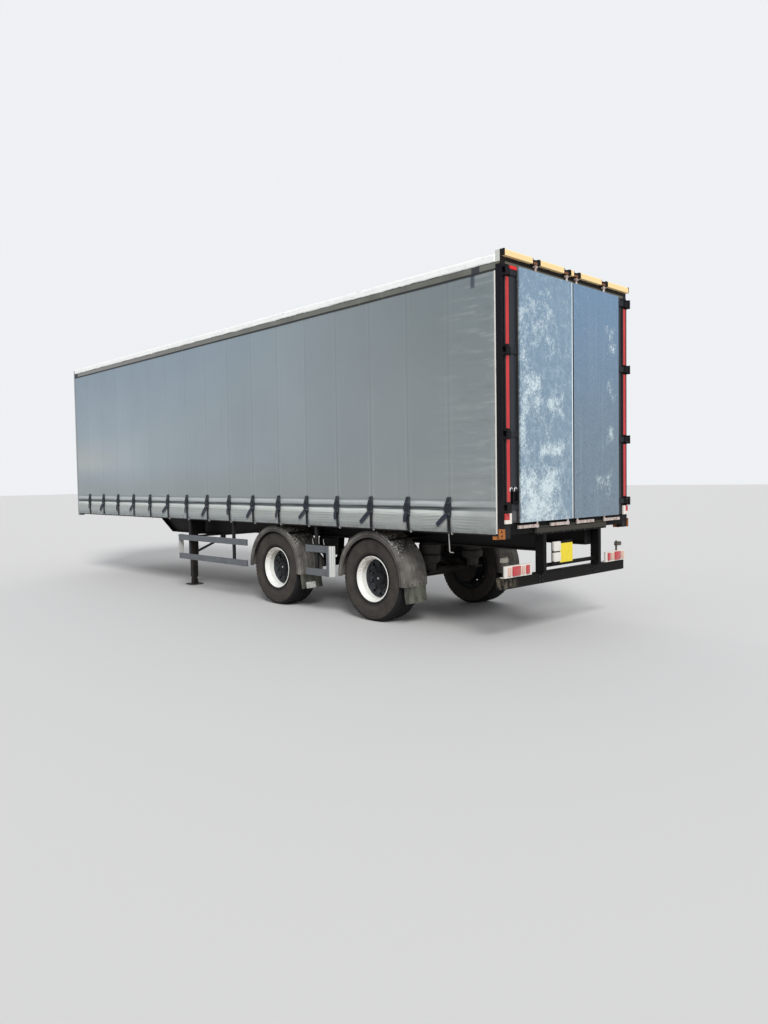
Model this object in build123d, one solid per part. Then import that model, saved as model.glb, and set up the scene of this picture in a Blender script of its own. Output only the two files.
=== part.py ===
from build123d import *
import os
from math import cos, sin, radians

# Curtain-sided semi trailer with two axles on wide single tyres, parked on its landing legs.
# Millimetres. +X is forward, +Y is left, +Z is up. The origin is on the ground, under
# the middle of the trailer's length and width.

# Overall sizes
overall_length = 11000
body_width = 2550
body_top = 4147
deck_top = 1300
deck_thickness = 28
fit_gap = 0.3
half_width = body_width / 2
deck_bottom = deck_top - deck_thickness

# Rear frame, with distances along X taken ahead of the door panels' rear face
post_rear = 35
post_depth = 80
post_width = 115
post_drop = 150
front_post_depth = 58
strip_depth = 12
strip_width = 82
cowl_height = 69
cowl_cover = 47
cowl_nose = 22
cowl_notch = 125
cap_width = 15
header_height = 95
header_rear = 45
keeper_width = 70
keeper_height = 50
sill_drop = 110
bulkhead_ribs = {"pitch": 250, "half_width": 60, "margin": 160}
post_front = post_rear + post_depth
post_inner_y = half_width - post_width
post_bottom = deck_top - post_drop
cowl_bottom = body_top - cowl_height
cowl_half_width = half_width - cap_width
header_top = body_top - cowl_cover
header_bottom = header_top - header_height
sill_bottom = deck_top - sill_drop

# Rear doors and their hinges
hinge_back = 10
hinge_inset = 25
hinge_foot = 167
hinge_head = 69
middle_hinges = [2250, 3120]
knuckle_radius = 17
knuckle_height = 60
hinge_pin_radius = 11
running_clearance = 0.05
lug_height = 20
lug_gap = 1.5
panel_depth = 40
panel_wall = 3
panel_margin = 133
leaf_thickness = 35
door_side_gap = 10
door_sill_gap = 13
door_head_gap = 6
door_centre_gap = 9
lock_rod_ys = [100, 700]
lock_rod_radius = 13.5
handle_length = 350
handle_drop = (63, 29)
hinge_y = half_width - hinge_inset
leaf_outer_y = post_inner_y - door_side_gap
panel_half_width = leaf_outer_y - panel_margin
door_bottom = deck_top + door_sill_gap
door_top = header_bottom - door_head_gap
hinge_heights = [door_bottom + hinge_foot] + middle_hinges + [door_top - hinge_head]

# Side raves, curtains, straps and roof
rave_inset = 13
rave_width = 70
rave_drop = 120
rave_lip = 40
rave_wall = 6
curtain_lap = 14
curtain_thickness = 4
curtain_inset = 5
rail_drop = 85
rail_width = 85
rail_height = 118
rail_lip = 79
rail_web_rise = 68
rail_wall = 4
roof_skirt = 43
roof_rise = 18
roof_thickness = 12
roof_lap = 9
strap_first = 811
strap_pitch = 636.5
strap_end_margin = 300
strap_width = 45
strap_thickness = 3
strap_lap = 25
buckle_width = 70
buckle_depth = 29
buckle_height = 220
buckle_rise = 65
tension_plate = {"rear": 15, "front": 100, "height": 107, "thickness": 4, "hole": 11}
ratchet_length = 80
pillar_count = 3
pillar_half = 45
bow_count = 9
rave_outer_y = half_width - rave_inset
rave_inner_y = rave_outer_y - rave_width
rave_bottom = deck_top - rave_drop
curtain_outer_y = half_width - curtain_inset
curtain_bottom = rave_bottom + curtain_lap
rail_top = body_top - rail_drop
rail_bottom = rail_top - rail_height
rail_lip_top = rail_bottom + rail_lip
rail_web_bottom = rail_bottom + rail_web_rise
rail_inner_y = half_width - rail_width
roof_edge_top = rail_top + roof_skirt
roof_crown = roof_edge_top + roof_thickness + roof_rise
strap_bottom = rave_bottom + strap_lap
buckle_bottom = deck_top + buckle_rise
buckle_top = buckle_bottom + buckle_height

# Where the trailer's length ends, and its distance ahead of the door panels' rear face
rear_x = -overall_length / 2 + hinge_back + knuckle_radius
front_face = overall_length / 2
body_front = front_face - front_post_depth
front_reach = front_face - rear_x

# Coupling and landing legs
kingpin_setback = 1223
kingpin_radius = 25.4
collar_radius = 36.3
collar_height = 11
waist_top = 38
waist_length = 32
boss_radius = 44.7
pin_flange = {"radius": 75, "thickness": 12}
skid_thickness = 12
skid_behind = 560
skid_ahead = 760
leg_behind_pin = 2550
leg_y = 780
leg_outer = 120
leg_inner = 95
leg_outer_bottom = 520
leg_top_gap = 106
wing_foot = 392
shoe_size = 250
stay_reach = 560
kingpin_x = front_reach - kingpin_setback
leg_x = kingpin_x - leg_behind_pin

# Chassis
rail_y = 500
rail_flange_width = 140
rail_flange = 16
rail_web = 12
rail_depth_bogie = 300
rail_depth_middle = 400
neck_depth = 122
neck_taper = (1420, 930)
bogie_taper = (1140, 600)
bearer_count = 17
bearer_web = 6
bearer_flange = 50
bearer_depth = 100
bearer_end = 150
rail_z = deck_bottom

# Bogie
axle_xs = {"rear": 2232, "front": 4272}
tyre_radius = 535
tyre_half_width = 190
tyre_inset = 130
tread_half_width = 152
bead_radius = 286
rim_half_width = 162
rim_flange_radius = 298.5
disc_radius = 232
disc_thickness = 14
hand_hole_ring = 206
hand_hole_radius = 22
spigot_radius = 140
axle_radius = 63.5
spindle_radius = 45
spindle_reach = 35
hub_cap = {"length": 25, "radius": 95, "end_radius": 65}
drum_radius = 226
back_plate = {"radius": 215, "behind": 267, "thickness": 10}
arm_width = 76
arm_height = 76
hanger_ahead = 500
hanger_half = 62
bag_behind = 360
bag_inset = 70
bag_radius = 140
bag_seat_rise = 8
brake_chamber = {"y": 300, "rise": 40, "ahead": (75, 225), "radius": 76, "band": (125, 150),
                 "band_radius": 88}
air_tank = {"radius": 123, "height": 1010, "overhang": 150, "end": 28}
seat_plate = 20
seat_half = 90
mount_plane_y = half_width - tyre_inset - tyre_half_width
spindle_end = mount_plane_y + spindle_reach
bag_y = rail_y - bag_inset

# Mudguards and side guards
guard_clear = 80
guard_lift = 0
guard_sheet = 6
guard_lip = 85
guard_side_clear = 15
guard_rear_angle = 185
flap_bottom = 280
flap_thickness = 6
flap_inset = 20
flap_lap = 40
stay_radius = 16
side_rail_height = 92
side_rail_lower = 520
side_rail_upper = 834
side_rail_thickness = 25
guard_post_depth = 30
guard_post_width = 50
front_guard = {"ahead_of_axle": 558, "behind_leg": 340}
mid_guard = {"ahead_of_axle": 668, "behind_axle": 872, "end_length": 45, "end_turn": 60}
guard_radius = tyre_radius + guard_clear
guard_centre_z = tyre_radius + guard_lift
guard_inner_y = mount_plane_y - tyre_half_width - guard_side_clear
guard_outer_y = mount_plane_y + tyre_half_width + guard_side_clear + guard_sheet
side_rail_outer_y = rave_outer_y

# Rear underrun, lamps and plate
end_frame_y = 720
end_beam_drop = 24
end_lip = 45
end_post_y = 545
end_post_width = 55
end_frame_rear = 5
bar_rear = 65
bar_depth = 100
bar_inset = 30
bar_bottom = 610
bar_height = 125
board_length = 475
board_height = 127
board_thickness = 22
board_foot = 50
board_sheet = 6
lens_depth = 14
stalks = {"left": (1200, 104), "right": (-1045, 123)}
stalk_head = {"inner": 14, "outer": 90, "drop": (62, 16)}
plate_face = 20
plate_thickness = 4
plate_width = 255
plate_height = 218
plate_rise = 87
carrier_width = 415
carrier_margin = 32
plate_lamps = [(20, 122), (138, 245)]
cross_bar = {"rear": 60, "front": 100, "rise": 50, "height": 40}
end_beam_bottom = sill_bottom - end_beam_drop
bar_half_width = half_width - bar_inset
bar_top = bar_bottom + bar_height
board_inner_y = bar_half_width - board_length
board_top = bar_top + board_height
plate_bottom = bar_top + plate_rise
plate_top = plate_bottom + plate_height

# Markers on the posts, and what is screwed to the left door's edge
marker_rise = (10, 120)
marker_depth = 25
marker_inset = 12
strip_gap = 8
top_lens = (35, 3)
hold_back_rise = (40, 170)
hold_back_inset = (112, 4)
hold_back_depth = 30
marker_z = (deck_top + marker_rise[0], deck_top + marker_rise[1])
top_lens_z = (door_top - top_lens[0], door_top - top_lens[1])
hold_back_z = (hinge_heights[0] + hold_back_rise[0], hinge_heights[0] + hold_back_rise[1])
hold_back_y = (leaf_outer_y - hold_back_inset[0], leaf_outer_y - hold_back_inset[1])

os.makedirs("parts", exist_ok=True)


def ahead(distance):
    """X of a place given by its distance ahead of the door panels' rear face."""
    return rear_x + distance


def block(x, y, z):
    """Box between the low and high values of each pair."""
    size = [high - low for low, high in (x, y, z)]
    return Box(*size, align=(Align.MIN, Align.MIN, Align.MIN)).moved(Location((x[0], y[0], z[0])))


def along_x(section, x_low, x_high):
    """Section of (y, z) points carried along X."""
    face = Plane.YZ * make_face(Polyline(*section, close=True))
    return extrude(face, x_high - x_low, dir=(1, 0, 0)).moved(Location((x_low, 0, 0)))


def along_y(outline, y_low, y_high):
    """Side outline of (x, z) points carried along Y."""
    face = Plane.XZ * make_face(Polyline(*outline, close=True))
    return extrude(face, y_high - y_low, dir=(0, 1, 0)).moved(Location((0, y_low, 0)))


def along_z(outline, z_low, z_high):
    """Plan outline of (x, y) points carried along Z."""
    face = make_face(Polyline(*outline, close=True))
    return extrude(face, z_high - z_low, dir=(0, 0, 1)).moved(Location((0, 0, z_low)))


def rod(start, end, radius):
    """Round bar between two points."""
    start, end = Vector(*start), Vector(*end)
    plane = Plane(origin=start, z_dir=end - start)
    return extrude(plane * Circle(radius), (end - start).length)


def turned(section, x, z):
    """Section of (y, radius) points turned about the Y line through x and z."""
    face = make_face(Polyline(*[(radius, y) for y, radius in section], close=True))
    return revolve(face, Axis.Y).moved(Location((x, 0, z)))


def right_of(solid):
    """The same piece on the right-hand side."""
    return mirror(solid, about=Plane.XZ)


def both(solid):
    return [solid, right_of(solid)]


def save(node, solids):
    export_step(Compound(children=list(solids)), f"parts/{node}.step")


# Chassis

def chassis_rails():
    """I-beams, deepest behind the neck and shallow over the coupling."""
    bogie, middle, neck = (rail_z - depth for depth in (rail_depth_bogie, rail_depth_middle, neck_depth))
    outline = [
        (ahead(post_front), rail_z), (ahead(post_front), bogie),
        (ahead(axle_xs["front"] + bogie_taper[0]), bogie), (ahead(leg_x - bogie_taper[1]), middle),
        (ahead(kingpin_x - neck_taper[0]), middle), (ahead(kingpin_x - neck_taper[1]), neck),
        (body_front, neck), (body_front, rail_z),
    ]
    low, high = rail_y - rail_flange_width / 2, rail_y + rail_flange_width / 2
    beam = along_y(outline, low, high)
    pocket_face = offset(make_face(Polyline(*outline, close=True)), -rail_flange, kind=Kind.INTERSECTION)
    pocket = extrude(Plane.XZ * pocket_face, (rail_flange_width - rail_web) / 2, dir=(0, 1, 0))
    beam -= pocket.moved(Location((0, low, 0)))
    beam -= pocket.moved(Location((0, rail_y + rail_web / 2, 0)))
    return both(beam)


def bearer_xs():
    first, last = ahead(post_front + bearer_end), body_front - bearer_end
    return [first + (last - first) * i / (bearer_count - 1) for i in range(bearer_count)]


def cross_bearers():
    """At each station a piece between the rails and a tapered outrigger on each side."""
    web_in, web_out = rail_y - rail_web / 2, rail_y + rail_web / 2
    flange_in, flange_out = rail_y - rail_flange_width / 2, rail_y + rail_flange_width / 2
    under_flange = rail_z - rail_flange
    tip = rave_outer_y - rave_wall
    pieces = []
    for x in bearer_xs():
        middle = [
            (-web_in, under_flange), (-flange_in, under_flange), (-flange_in, rail_z),
            (flange_in, rail_z), (flange_in, under_flange), (web_in, under_flange),
            (web_in, rail_z - bearer_depth), (-web_in, rail_z - bearer_depth),
        ]
        arm = [
            (web_out, under_flange), (flange_out, under_flange), (flange_out, rail_z),
            (tip, rail_z), (tip, rail_z - bearer_depth * 0.6), (web_out, rail_z - bearer_depth),
        ]
        centre = along_x(middle, x, x + bearer_web)
        centre += block((x, x + bearer_flange), (-flange_in, flange_in), (rail_z - bearer_web, rail_z))
        centre += block((x, x + bearer_flange), (-web_in, web_in),
                        (rail_z - bearer_depth, rail_z - bearer_depth + bearer_web))
        outrigger = along_x(arm, x, x + bearer_web)
        outrigger += block((x, x + bearer_flange), (flange_out, tip), (rail_z - bearer_web, rail_z))
        pieces += [centre] + both(outrigger)
    return pieces


def deck_floor():
    """Board sheets laid end to end on the bearers."""
    start, end = ahead(post_front), body_front
    sheet_count, joint = 5, 2
    length = (end - start) / sheet_count
    return [
        block((start + i * length + joint / 2, start + (i + 1) * length - joint / 2),
              (-rave_inner_y, rave_inner_y), (deck_bottom, deck_top))
        for i in range(sheet_count)
    ]


def side_raves():
    """Edge channels that the curtain hooks catch under."""
    section = [
        (rave_outer_y, rave_bottom), (rave_outer_y, deck_top), (rave_inner_y, deck_top),
        (rave_inner_y, deck_top - rave_wall), (rave_outer_y - rave_wall, deck_top - rave_wall),
        (rave_outer_y - rave_wall, rave_bottom + rave_wall),
        (rave_outer_y - rave_lip, rave_bottom + rave_wall), (rave_outer_y - rave_lip, rave_bottom),
    ]
    return both(along_x(section, ahead(post_front), body_front))


# Body ends

def front_bulkhead():
    """Ribbed panel between the two front corner posts, with a top and bottom rail."""
    panel = block((body_front + 20, front_face - 8), (-post_inner_y, post_inner_y),
                  (sill_bottom, header_top))
    half, margin = bulkhead_ribs["half_width"], bulkhead_ribs["margin"]
    for y in range(-1000, 1001, bulkhead_ribs["pitch"]):
        panel -= block((front_face - 20, front_face), (y - half, y + half),
                       (sill_bottom + margin, header_top - margin))
    post = block((body_front, front_face), (post_inner_y, half_width), (post_bottom, header_top))
    post = chamfer(post.edges().filter_by(Axis.Z).group_by(Axis.X)[-1].sort_by(Axis.Y)[-1], 20)
    return [panel] + both(post)


def rear_posts():
    post = block((ahead(post_rear), ahead(post_front)), (post_inner_y, half_width),
                 (post_bottom, header_bottom))
    return both(post)


def post_strips():
    """Red guard strips on the posts, broken at each hinge."""
    gap = knuckle_height / 2 + lug_height + strip_gap
    stops = [marker_z[1] + strip_gap]
    for height in hinge_heights:
        stops += [height - gap, height + gap]
    spans = list(zip(stops[2:-1:2], stops[3::2]))
    strips = []
    for low, high in spans:
        strip = block((ahead(post_rear - strip_depth), ahead(post_rear)),
                      (post_inner_y, post_inner_y + strip_width), (low, high))
        rear_edges = strip.edges().filter_by(Axis.Z).group_by(Axis.X)[0]
        strips += both(fillet(rear_edges, strip_depth * 0.45))
    return strips


def rear_header():
    """Beam over the doors, its end caps and the four lock keepers in the cowl's notches."""
    beam = block((ahead(header_rear), ahead(post_front)), (-half_width, half_width),
                 (header_bottom, header_top))
    cap = block((ahead(0), ahead(post_front)), (cowl_half_width, half_width), (cowl_bottom, body_top))
    cap -= block((ahead(header_rear), ahead(post_front)), (cowl_half_width, half_width),
                 (cowl_bottom, header_top))
    pieces = [beam] + both(cap)
    for y in lock_rod_ys:
        keeper = block((ahead(14), ahead(header_rear)), (y - keeper_width / 2, y + keeper_width / 2),
                       (cowl_bottom, cowl_bottom + keeper_height))
        pieces += both(keeper)
    return pieces


def header_cowl():
    """Rounded cover along the top, in the lengths between the keepers' notches."""
    nose = cowl_nose
    curve = Curve() + [
        Line((ahead(0), cowl_bottom), (ahead(0), body_top - nose)),
        RadiusArc((ahead(0), body_top - nose), (ahead(nose), body_top), nose),
        Polyline((ahead(nose), body_top), (ahead(post_front), body_top), (ahead(post_front), header_top),
                 (ahead(header_rear), header_top), (ahead(header_rear), cowl_bottom),
                 (ahead(0), cowl_bottom)),
    ]
    face = Plane.XZ * make_face(curve)
    half_notch = cowl_notch / 2
    inner, outer = lock_rod_ys
    spans = [(-inner + half_notch, inner - half_notch), (inner + half_notch, outer - half_notch),
             (outer + half_notch, cowl_half_width)]
    pieces = []
    for low, high in spans:
        length = extrude(face, high - low, dir=(0, 1, 0)).moved(Location((0, low, 0)))
        pieces += [length] if low < 0 else both(length)
    return pieces


def rear_sill():
    sill = block((ahead(post_rear), ahead(post_front)), (-post_inner_y, post_inner_y),
                 (sill_bottom, deck_top))
    return [sill]


def hinge_lugs():
    """Two lugs and the pin at each hinge, on the rear face of each post."""
    pin_x = ahead(-hinge_back)
    plan = [
        (pin_x, hinge_y + knuckle_radius), (ahead(post_rear), half_width - 2),
        (ahead(post_rear), hinge_y - knuckle_radius - 8), (pin_x, hinge_y - knuckle_radius),
    ]
    pieces = []
    for height in hinge_heights:
        half = knuckle_height / 2 + lug_gap
        hinge = rod((pin_x, hinge_y, height - half), (pin_x, hinge_y, height + half), hinge_pin_radius)
        for low in (height - half - lug_height, height + half):
            hinge += along_z(plan, low, low + lug_height)
            hinge += rod((pin_x, hinge_y, low), (pin_x, hinge_y, low + lug_height), knuckle_radius)
        pieces += both(hinge)
    return pieces


# Doors, made for the left side and mirrored

def door_leaf():
    leaf = block((ahead(panel_depth), ahead(panel_depth + leaf_thickness)),
                 (door_centre_gap, leaf_outer_y), (door_bottom, door_top))
    recess = block((ahead(panel_depth + leaf_thickness - 6), ahead(panel_depth + leaf_thickness)),
                   (door_centre_gap + 60, leaf_outer_y - 60), (door_bottom + 80, door_top - 80))
    return leaf - recess


def door_hinges():
    """Cranked blades on the door's edge, each with a knuckle on its pin."""
    pin_x = ahead(-hinge_back)
    crank_y, foot_y = hinge_y - 38, panel_half_width + panel_wall + 10
    plan = [
        (ahead(-hinge_back - 8), hinge_y - 5), (ahead(14), crank_y), (ahead(14), leaf_outer_y - 10),
        (ahead(27), leaf_outer_y - 40), (ahead(27), foot_y), (ahead(panel_depth), foot_y),
        (ahead(panel_depth), leaf_outer_y - 4), (ahead(28), leaf_outer_y + 12), (ahead(28), crank_y + 10),
        (ahead(3), hinge_y + 10),
    ]
    pieces = []
    for height in hinge_heights:
        low, high = height - knuckle_height / 2, height + knuckle_height / 2
        blade = along_z(plan, low, high)
        blade += rod((pin_x, hinge_y, low), (pin_x, hinge_y, high), knuckle_radius)
        bore = hinge_pin_radius + running_clearance
        blade -= rod((pin_x, hinge_y, low), (pin_x, hinge_y, high), bore)
        pieces.append(blade)
    return pieces


def door_panel():
    """Galvanised tray that covers the lock rods, open towards the leaf."""
    inner_y = door_centre_gap + 3
    tray = block((ahead(0), ahead(panel_depth)), (inner_y, panel_half_width), (door_bottom, door_top))
    tray -= block((ahead(panel_wall), ahead(panel_depth)),
                  (inner_y + panel_wall, panel_half_width - panel_wall),
                  (door_bottom + panel_wall, door_top - panel_wall))
    for y in lock_rod_ys:
        tray -= rod((ahead(panel_depth / 2), y, door_bottom), (ahead(panel_depth / 2), y, door_top),
                    lock_rod_radius)
    return tray


def lock_rods():
    """Lock rods with their cams at the top and flat handles below the door."""
    pieces = []
    handle_z = (door_bottom - handle_drop[0], door_bottom - handle_drop[1])
    for y in lock_rod_ys:
        x = ahead(panel_depth / 2)
        bar = rod((x, y, handle_z[0] - 6), (x, y, cowl_bottom - 8), lock_rod_radius)
        bar += block((ahead(6), ahead(26)), (y - 18, y + handle_length), handle_z)
        bar += block((ahead(4), ahead(36)), (y - 22, y + 22), (cowl_bottom - 34, cowl_bottom - 14))
        pieces.append(bar)
    return pieces


# Curtains, straps and roof

def curtain():
    return block((ahead(post_front) + fit_gap, body_front - fit_gap),
                 (curtain_outer_y - curtain_thickness, curtain_outer_y),
                 (curtain_bottom, rail_web_bottom - fit_gap))


def strap_xs():
    reach = body_front - rear_x - strap_end_margin - strap_first
    return [ahead(strap_first + i * strap_pitch) for i in range(int(reach / strap_pitch) + 1)]


def curtain_straps():
    """At each station a webbing strap, its over-centre buckle and the loose tail."""
    skin = curtain_outer_y + fit_gap
    pieces = []
    buckle_side = [
        (skin, buckle_bottom), (skin + 18, buckle_bottom + 15), (skin + buckle_depth, buckle_bottom + 75),
        (skin + buckle_depth - 3, buckle_top - 30), (skin + 12, buckle_top), (skin, buckle_top),
    ]
    for x in strap_xs():
        half = strap_width / 2
        strap = along_x(buckle_side, x - buckle_width / 2, x + buckle_width / 2)
        strap += block((x - half, x + half), (skin, skin + strap_thickness),
                       (strap_bottom, buckle_bottom + 40))
        tail = [(x - half, buckle_bottom + 20), (x + half, buckle_bottom + 30),
                (x + 175, strap_bottom + 60), (x + 140, strap_bottom + 28)]
        strap += along_y(tail, skin + strap_thickness, skin + 2 * strap_thickness)
        pieces += both(strap)
    return pieces


def curtain_tensioners():
    """Plates with two holes on the outer side of the rear posts' feet, and the ratchet boxes."""
    rear, front = ahead(tension_plate["rear"]), ahead(tension_plate["front"])
    face, height = half_width + tension_plate["thickness"], tension_plate["height"]
    plate = block((rear, front), (half_width, face), (post_bottom, post_bottom + height))
    for z in (post_bottom + height * 0.3, post_bottom + height * 0.7):
        middle = (rear + front) / 2
        plate -= rod((middle, half_width, z), (middle, face, z), tension_plate["hole"])
    ratchet = block((ahead(post_front), ahead(post_front + ratchet_length)),
                    (rave_outer_y - 50, rave_outer_y - rave_wall), (post_bottom - 10, rave_bottom))
    return both(plate) + both(ratchet)


def cant_rails():
    """Roof rails, open below, where the curtain rollers and pillars run."""
    section = [
        (half_width, rail_bottom), (half_width, rail_lip_top), (half_width - 11, rail_lip_top + 7),
        (half_width - 11, rail_top), (rail_inner_y, rail_top), (rail_inner_y, rail_bottom + 6),
        (rail_inner_y + 7, rail_bottom + 6), (rail_inner_y + 7, rail_web_bottom),
        (half_width - rail_wall, rail_web_bottom), (half_width - rail_wall, rail_bottom),
    ]
    return both(along_x(section, ahead(post_front), body_front))


def roof_sheet():
    """Shallow crowned roof whose edges fold down over the cant rails."""
    skirt, shoulder = half_width - roof_lap, roof_edge_top + roof_thickness
    left = [
        (half_width - 20, shoulder + 5), (half_width, roof_edge_top), (half_width, rail_lip_top + 8),
        (skirt, rail_lip_top + 8), (skirt, rail_top + fit_gap), (rail_inner_y + 10, rail_top + fit_gap),
        (rail_inner_y + 10, roof_edge_top),
    ]
    section = [(0, roof_crown)] + left + [(0, roof_crown - roof_thickness)]
    section += [(-y, z) for y, z in reversed(left)]
    return [along_x(section, ahead(post_front), body_front)]


def spread(count, low, high):
    """Evenly spaced places between low and high, without the two ends."""
    return [low + (high - low) * (i + 1) / (count + 1) for i in range(count)]


def roof_bows():
    low, high = ahead(post_front), body_front
    return [block((x - 20, x + 20), (-rail_inner_y, rail_inner_y), (rail_web_bottom, rail_top - 7))
            for x in spread(bow_count, low, high)]


def sliding_pillars():
    low, high = ahead(post_front), body_front
    pieces = []
    for x in spread(pillar_count, low, high):
        pillar = block((x - pillar_half, x + pillar_half), (rail_inner_y + 12, rave_outer_y - 8),
                       (deck_top, rail_web_bottom))
        pieces += both(pillar)
    return pieces


# Coupling and landing legs

def skid_plate():
    """Flat plate under the rails' necks, holed for the kingpin's boss."""
    top, x, half = rail_z - neck_depth, ahead(kingpin_x), rail_y + rail_flange_width / 2
    plate = block((x - skid_behind, x + skid_ahead), (-half, half), (top - skid_thickness, top))
    hole = rod((x, 0, top - skid_thickness), (x, 0, top), boss_radius + fit_gap)
    return [plate - hole]


def kingpin():
    """Coupling pin: a flange on the skid plate, a boss through it, the waist and its two collars."""
    top = rail_z - neck_depth
    under = top - skid_thickness
    waist = under - waist_top
    collar = waist - waist_length
    section = [
        (0, top + pin_flange["thickness"]), (pin_flange["radius"], top + pin_flange["thickness"]),
        (pin_flange["radius"], top), (boss_radius, top), (boss_radius, under), (collar_radius, under),
        (collar_radius, waist + 4), (kingpin_radius, waist), (kingpin_radius, collar),
        (collar_radius, collar - 3), (collar_radius, collar - collar_height),
        (collar_radius - 3, collar - collar_height - 3), (0, collar - collar_height - 3),
    ]
    face = Plane.XZ * make_face(Polyline(*section, close=True))
    return [revolve(face, Axis.Z).moved(Location((ahead(kingpin_x), 0, 0)))]


def landing_legs():
    """Fixed outer legs on their wing brackets, the cross shaft, the folded crank and the stays."""
    x, half = ahead(leg_x), leg_outer / 2
    leg_top = rail_z - leg_top_gap
    wing_z = rail_z - wing_foot
    leg = block((x - half, x + half), (leg_y - half, leg_y + half), (leg_outer_bottom, leg_top))
    bore = leg_inner / 2 + fit_gap
    leg -= block((x - bore, x + bore), (leg_y - bore, leg_y + bore), (leg_outer_bottom, leg_top - 60))
    wing_y = (rail_y + rail_flange_width / 2, leg_y - half)
    for side in (-half, half - 10):
        leg += along_x([(wing_y[0], rail_z - 20), (wing_y[1] + 20, leg_top + 60),
                        (wing_y[1] + 20, leg_top - 40), (wing_y[1], wing_z), (wing_y[0], wing_z)],
                       x + side, x + side + 10)
    under_rail = rail_z - rail_depth_middle
    foot_x, foot_y = x - stay_reach, rail_y + 30
    stay_start = (x - half, leg_y - half + 30, leg_outer_bottom + 60)
    leg += rod(stay_start, (foot_x, foot_y, under_rail - 40), 20)
    leg += block((foot_x - 40, foot_x + 40), (foot_y - 30, foot_y + 30), (under_rail - 62, under_rail))
    z, outer = under_rail - 25, leg_y + half
    shaft = rod((x, -leg_y + half, z), (x, leg_y - half, z), 17)
    crank = rod((x, outer, z), (x, outer + 60, z), 14)
    crank += block((x - 14, x + 330), (outer + 46, outer + 60), (z - 12, z + 12))
    crank += rod((x + 315, outer + 50, z), (x + 315, outer - 60, z), 12)
    return both(leg) + [shaft, crank]


def landing_feet():
    """Sliding inner legs with a forked ankle and a dished shoe."""
    x, half, shoe = ahead(leg_x), leg_inner / 2, shoe_size / 2
    leg = block((x - half, x + half), (leg_y - half, leg_y + half), (130, leg_outer_bottom + 320))
    ankle = along_y([(x - 30, 40), (x + 30, 40), (x + half, 130), (x - half, 130)], leg_y - 30, leg_y + 30)
    base = block((x - shoe, x + shoe), (leg_y - shoe, leg_y + shoe), (0, 14))
    base = chamfer(base.edges().filter_by(Axis.Z), 40)
    ears = [block((x - 45, x + 45), (leg_y + y, leg_y + y + 12), (14, 100)) for y in (-42, 30)]
    pin = rod((x, leg_y - 55, 68), (x, leg_y + 55, 68), 14)
    foot = leg + ankle + base + ears[0] + ears[1] + pin
    foot += block((x - 30, x + 30), (leg_y - 30, leg_y + 30), (14, 41))
    return both(foot)


# Bogie

def axle(x):
    """Round beam with tapered ends, brake back plates and stub spindles."""
    plate_y = mount_plane_y - back_plate["behind"]
    plate_end, plate_radius = plate_y + back_plate["thickness"], back_plate["radius"]
    neck = axle_radius + 14.5
    half = [
        (plate_y - 40, axle_radius), (plate_y, neck), (plate_y, plate_radius), (plate_end, plate_radius),
        (plate_end, neck), (plate_end + 71, spindle_radius + 8), (plate_end + 71, spindle_radius),
        (spindle_end, spindle_radius), (spindle_end, 0),
    ]
    section = [(-y, r) for y, r in reversed(half)] + half
    return turned(section, ahead(x), tyre_radius)


def suspension(x):
    """Hanger bracket, trailing arm with its axle seat, and the bag's top plate, for one axle."""
    eye_x, seat_z = ahead(x + hanger_ahead), tyre_radius + axle_radius
    under_rail = rail_z - rail_depth_bogie
    arm_top, seat_top = seat_z + arm_height, seat_z + bag_seat_rise
    low, high = rail_y - hanger_half, rail_y + hanger_half
    hanger = along_y([(eye_x - 90, under_rail), (eye_x + 90, under_rail), (eye_x + 62, seat_z - 30),
                      (eye_x - 50, seat_z - 30)], low, high)
    hanger -= block((eye_x - 120, eye_x + 50), (low + 10, high - 10), (seat_z - 60, under_rail - 30))
    half = arm_width / 2
    tail = ahead(x - bag_behind) - seat_half
    arm = along_y([(eye_x, seat_z), (eye_x, arm_top), (ahead(x) - 90, arm_top), (ahead(x) - 215, seat_top),
                   (tail, seat_top), (tail, seat_top - seat_plate), (ahead(x) - 170, seat_top - seat_plate),
                   (ahead(x) - 90, seat_z)], rail_y - half, rail_y + half)
    eye_z = seat_z + arm_height / 2
    arm += rod((eye_x, low + 10, eye_z), (eye_x, high - 10, eye_z), arm_height / 2 + 10)
    arm += block((tail, tail + 2 * seat_half), (bag_y - 60, rail_y - half + 1),
                 (seat_top - seat_plate, seat_top))
    return both(hanger) + both(arm)


def air_bag(x):
    """Bellows between the arm's seat and the chassis rail."""
    low, high = tyre_radius + axle_radius + bag_seat_rise, rail_z - rail_depth_bogie
    waist = (low + high) / 2 + 40
    section = [
        (0, low), (75, low), (85, low + 90), (bag_radius, low + 130), (bag_radius, waist - 22),
        (bag_radius - 22, waist), (bag_radius, waist + 22), (bag_radius, high - 24),
        (bag_radius - 20, high), (0, high),
    ]
    face = Plane.XZ * make_face(Polyline(*section, close=True))
    return revolve(face, Axis.Z).moved(Location((ahead(x - bag_behind), bag_y, 0)))


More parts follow.
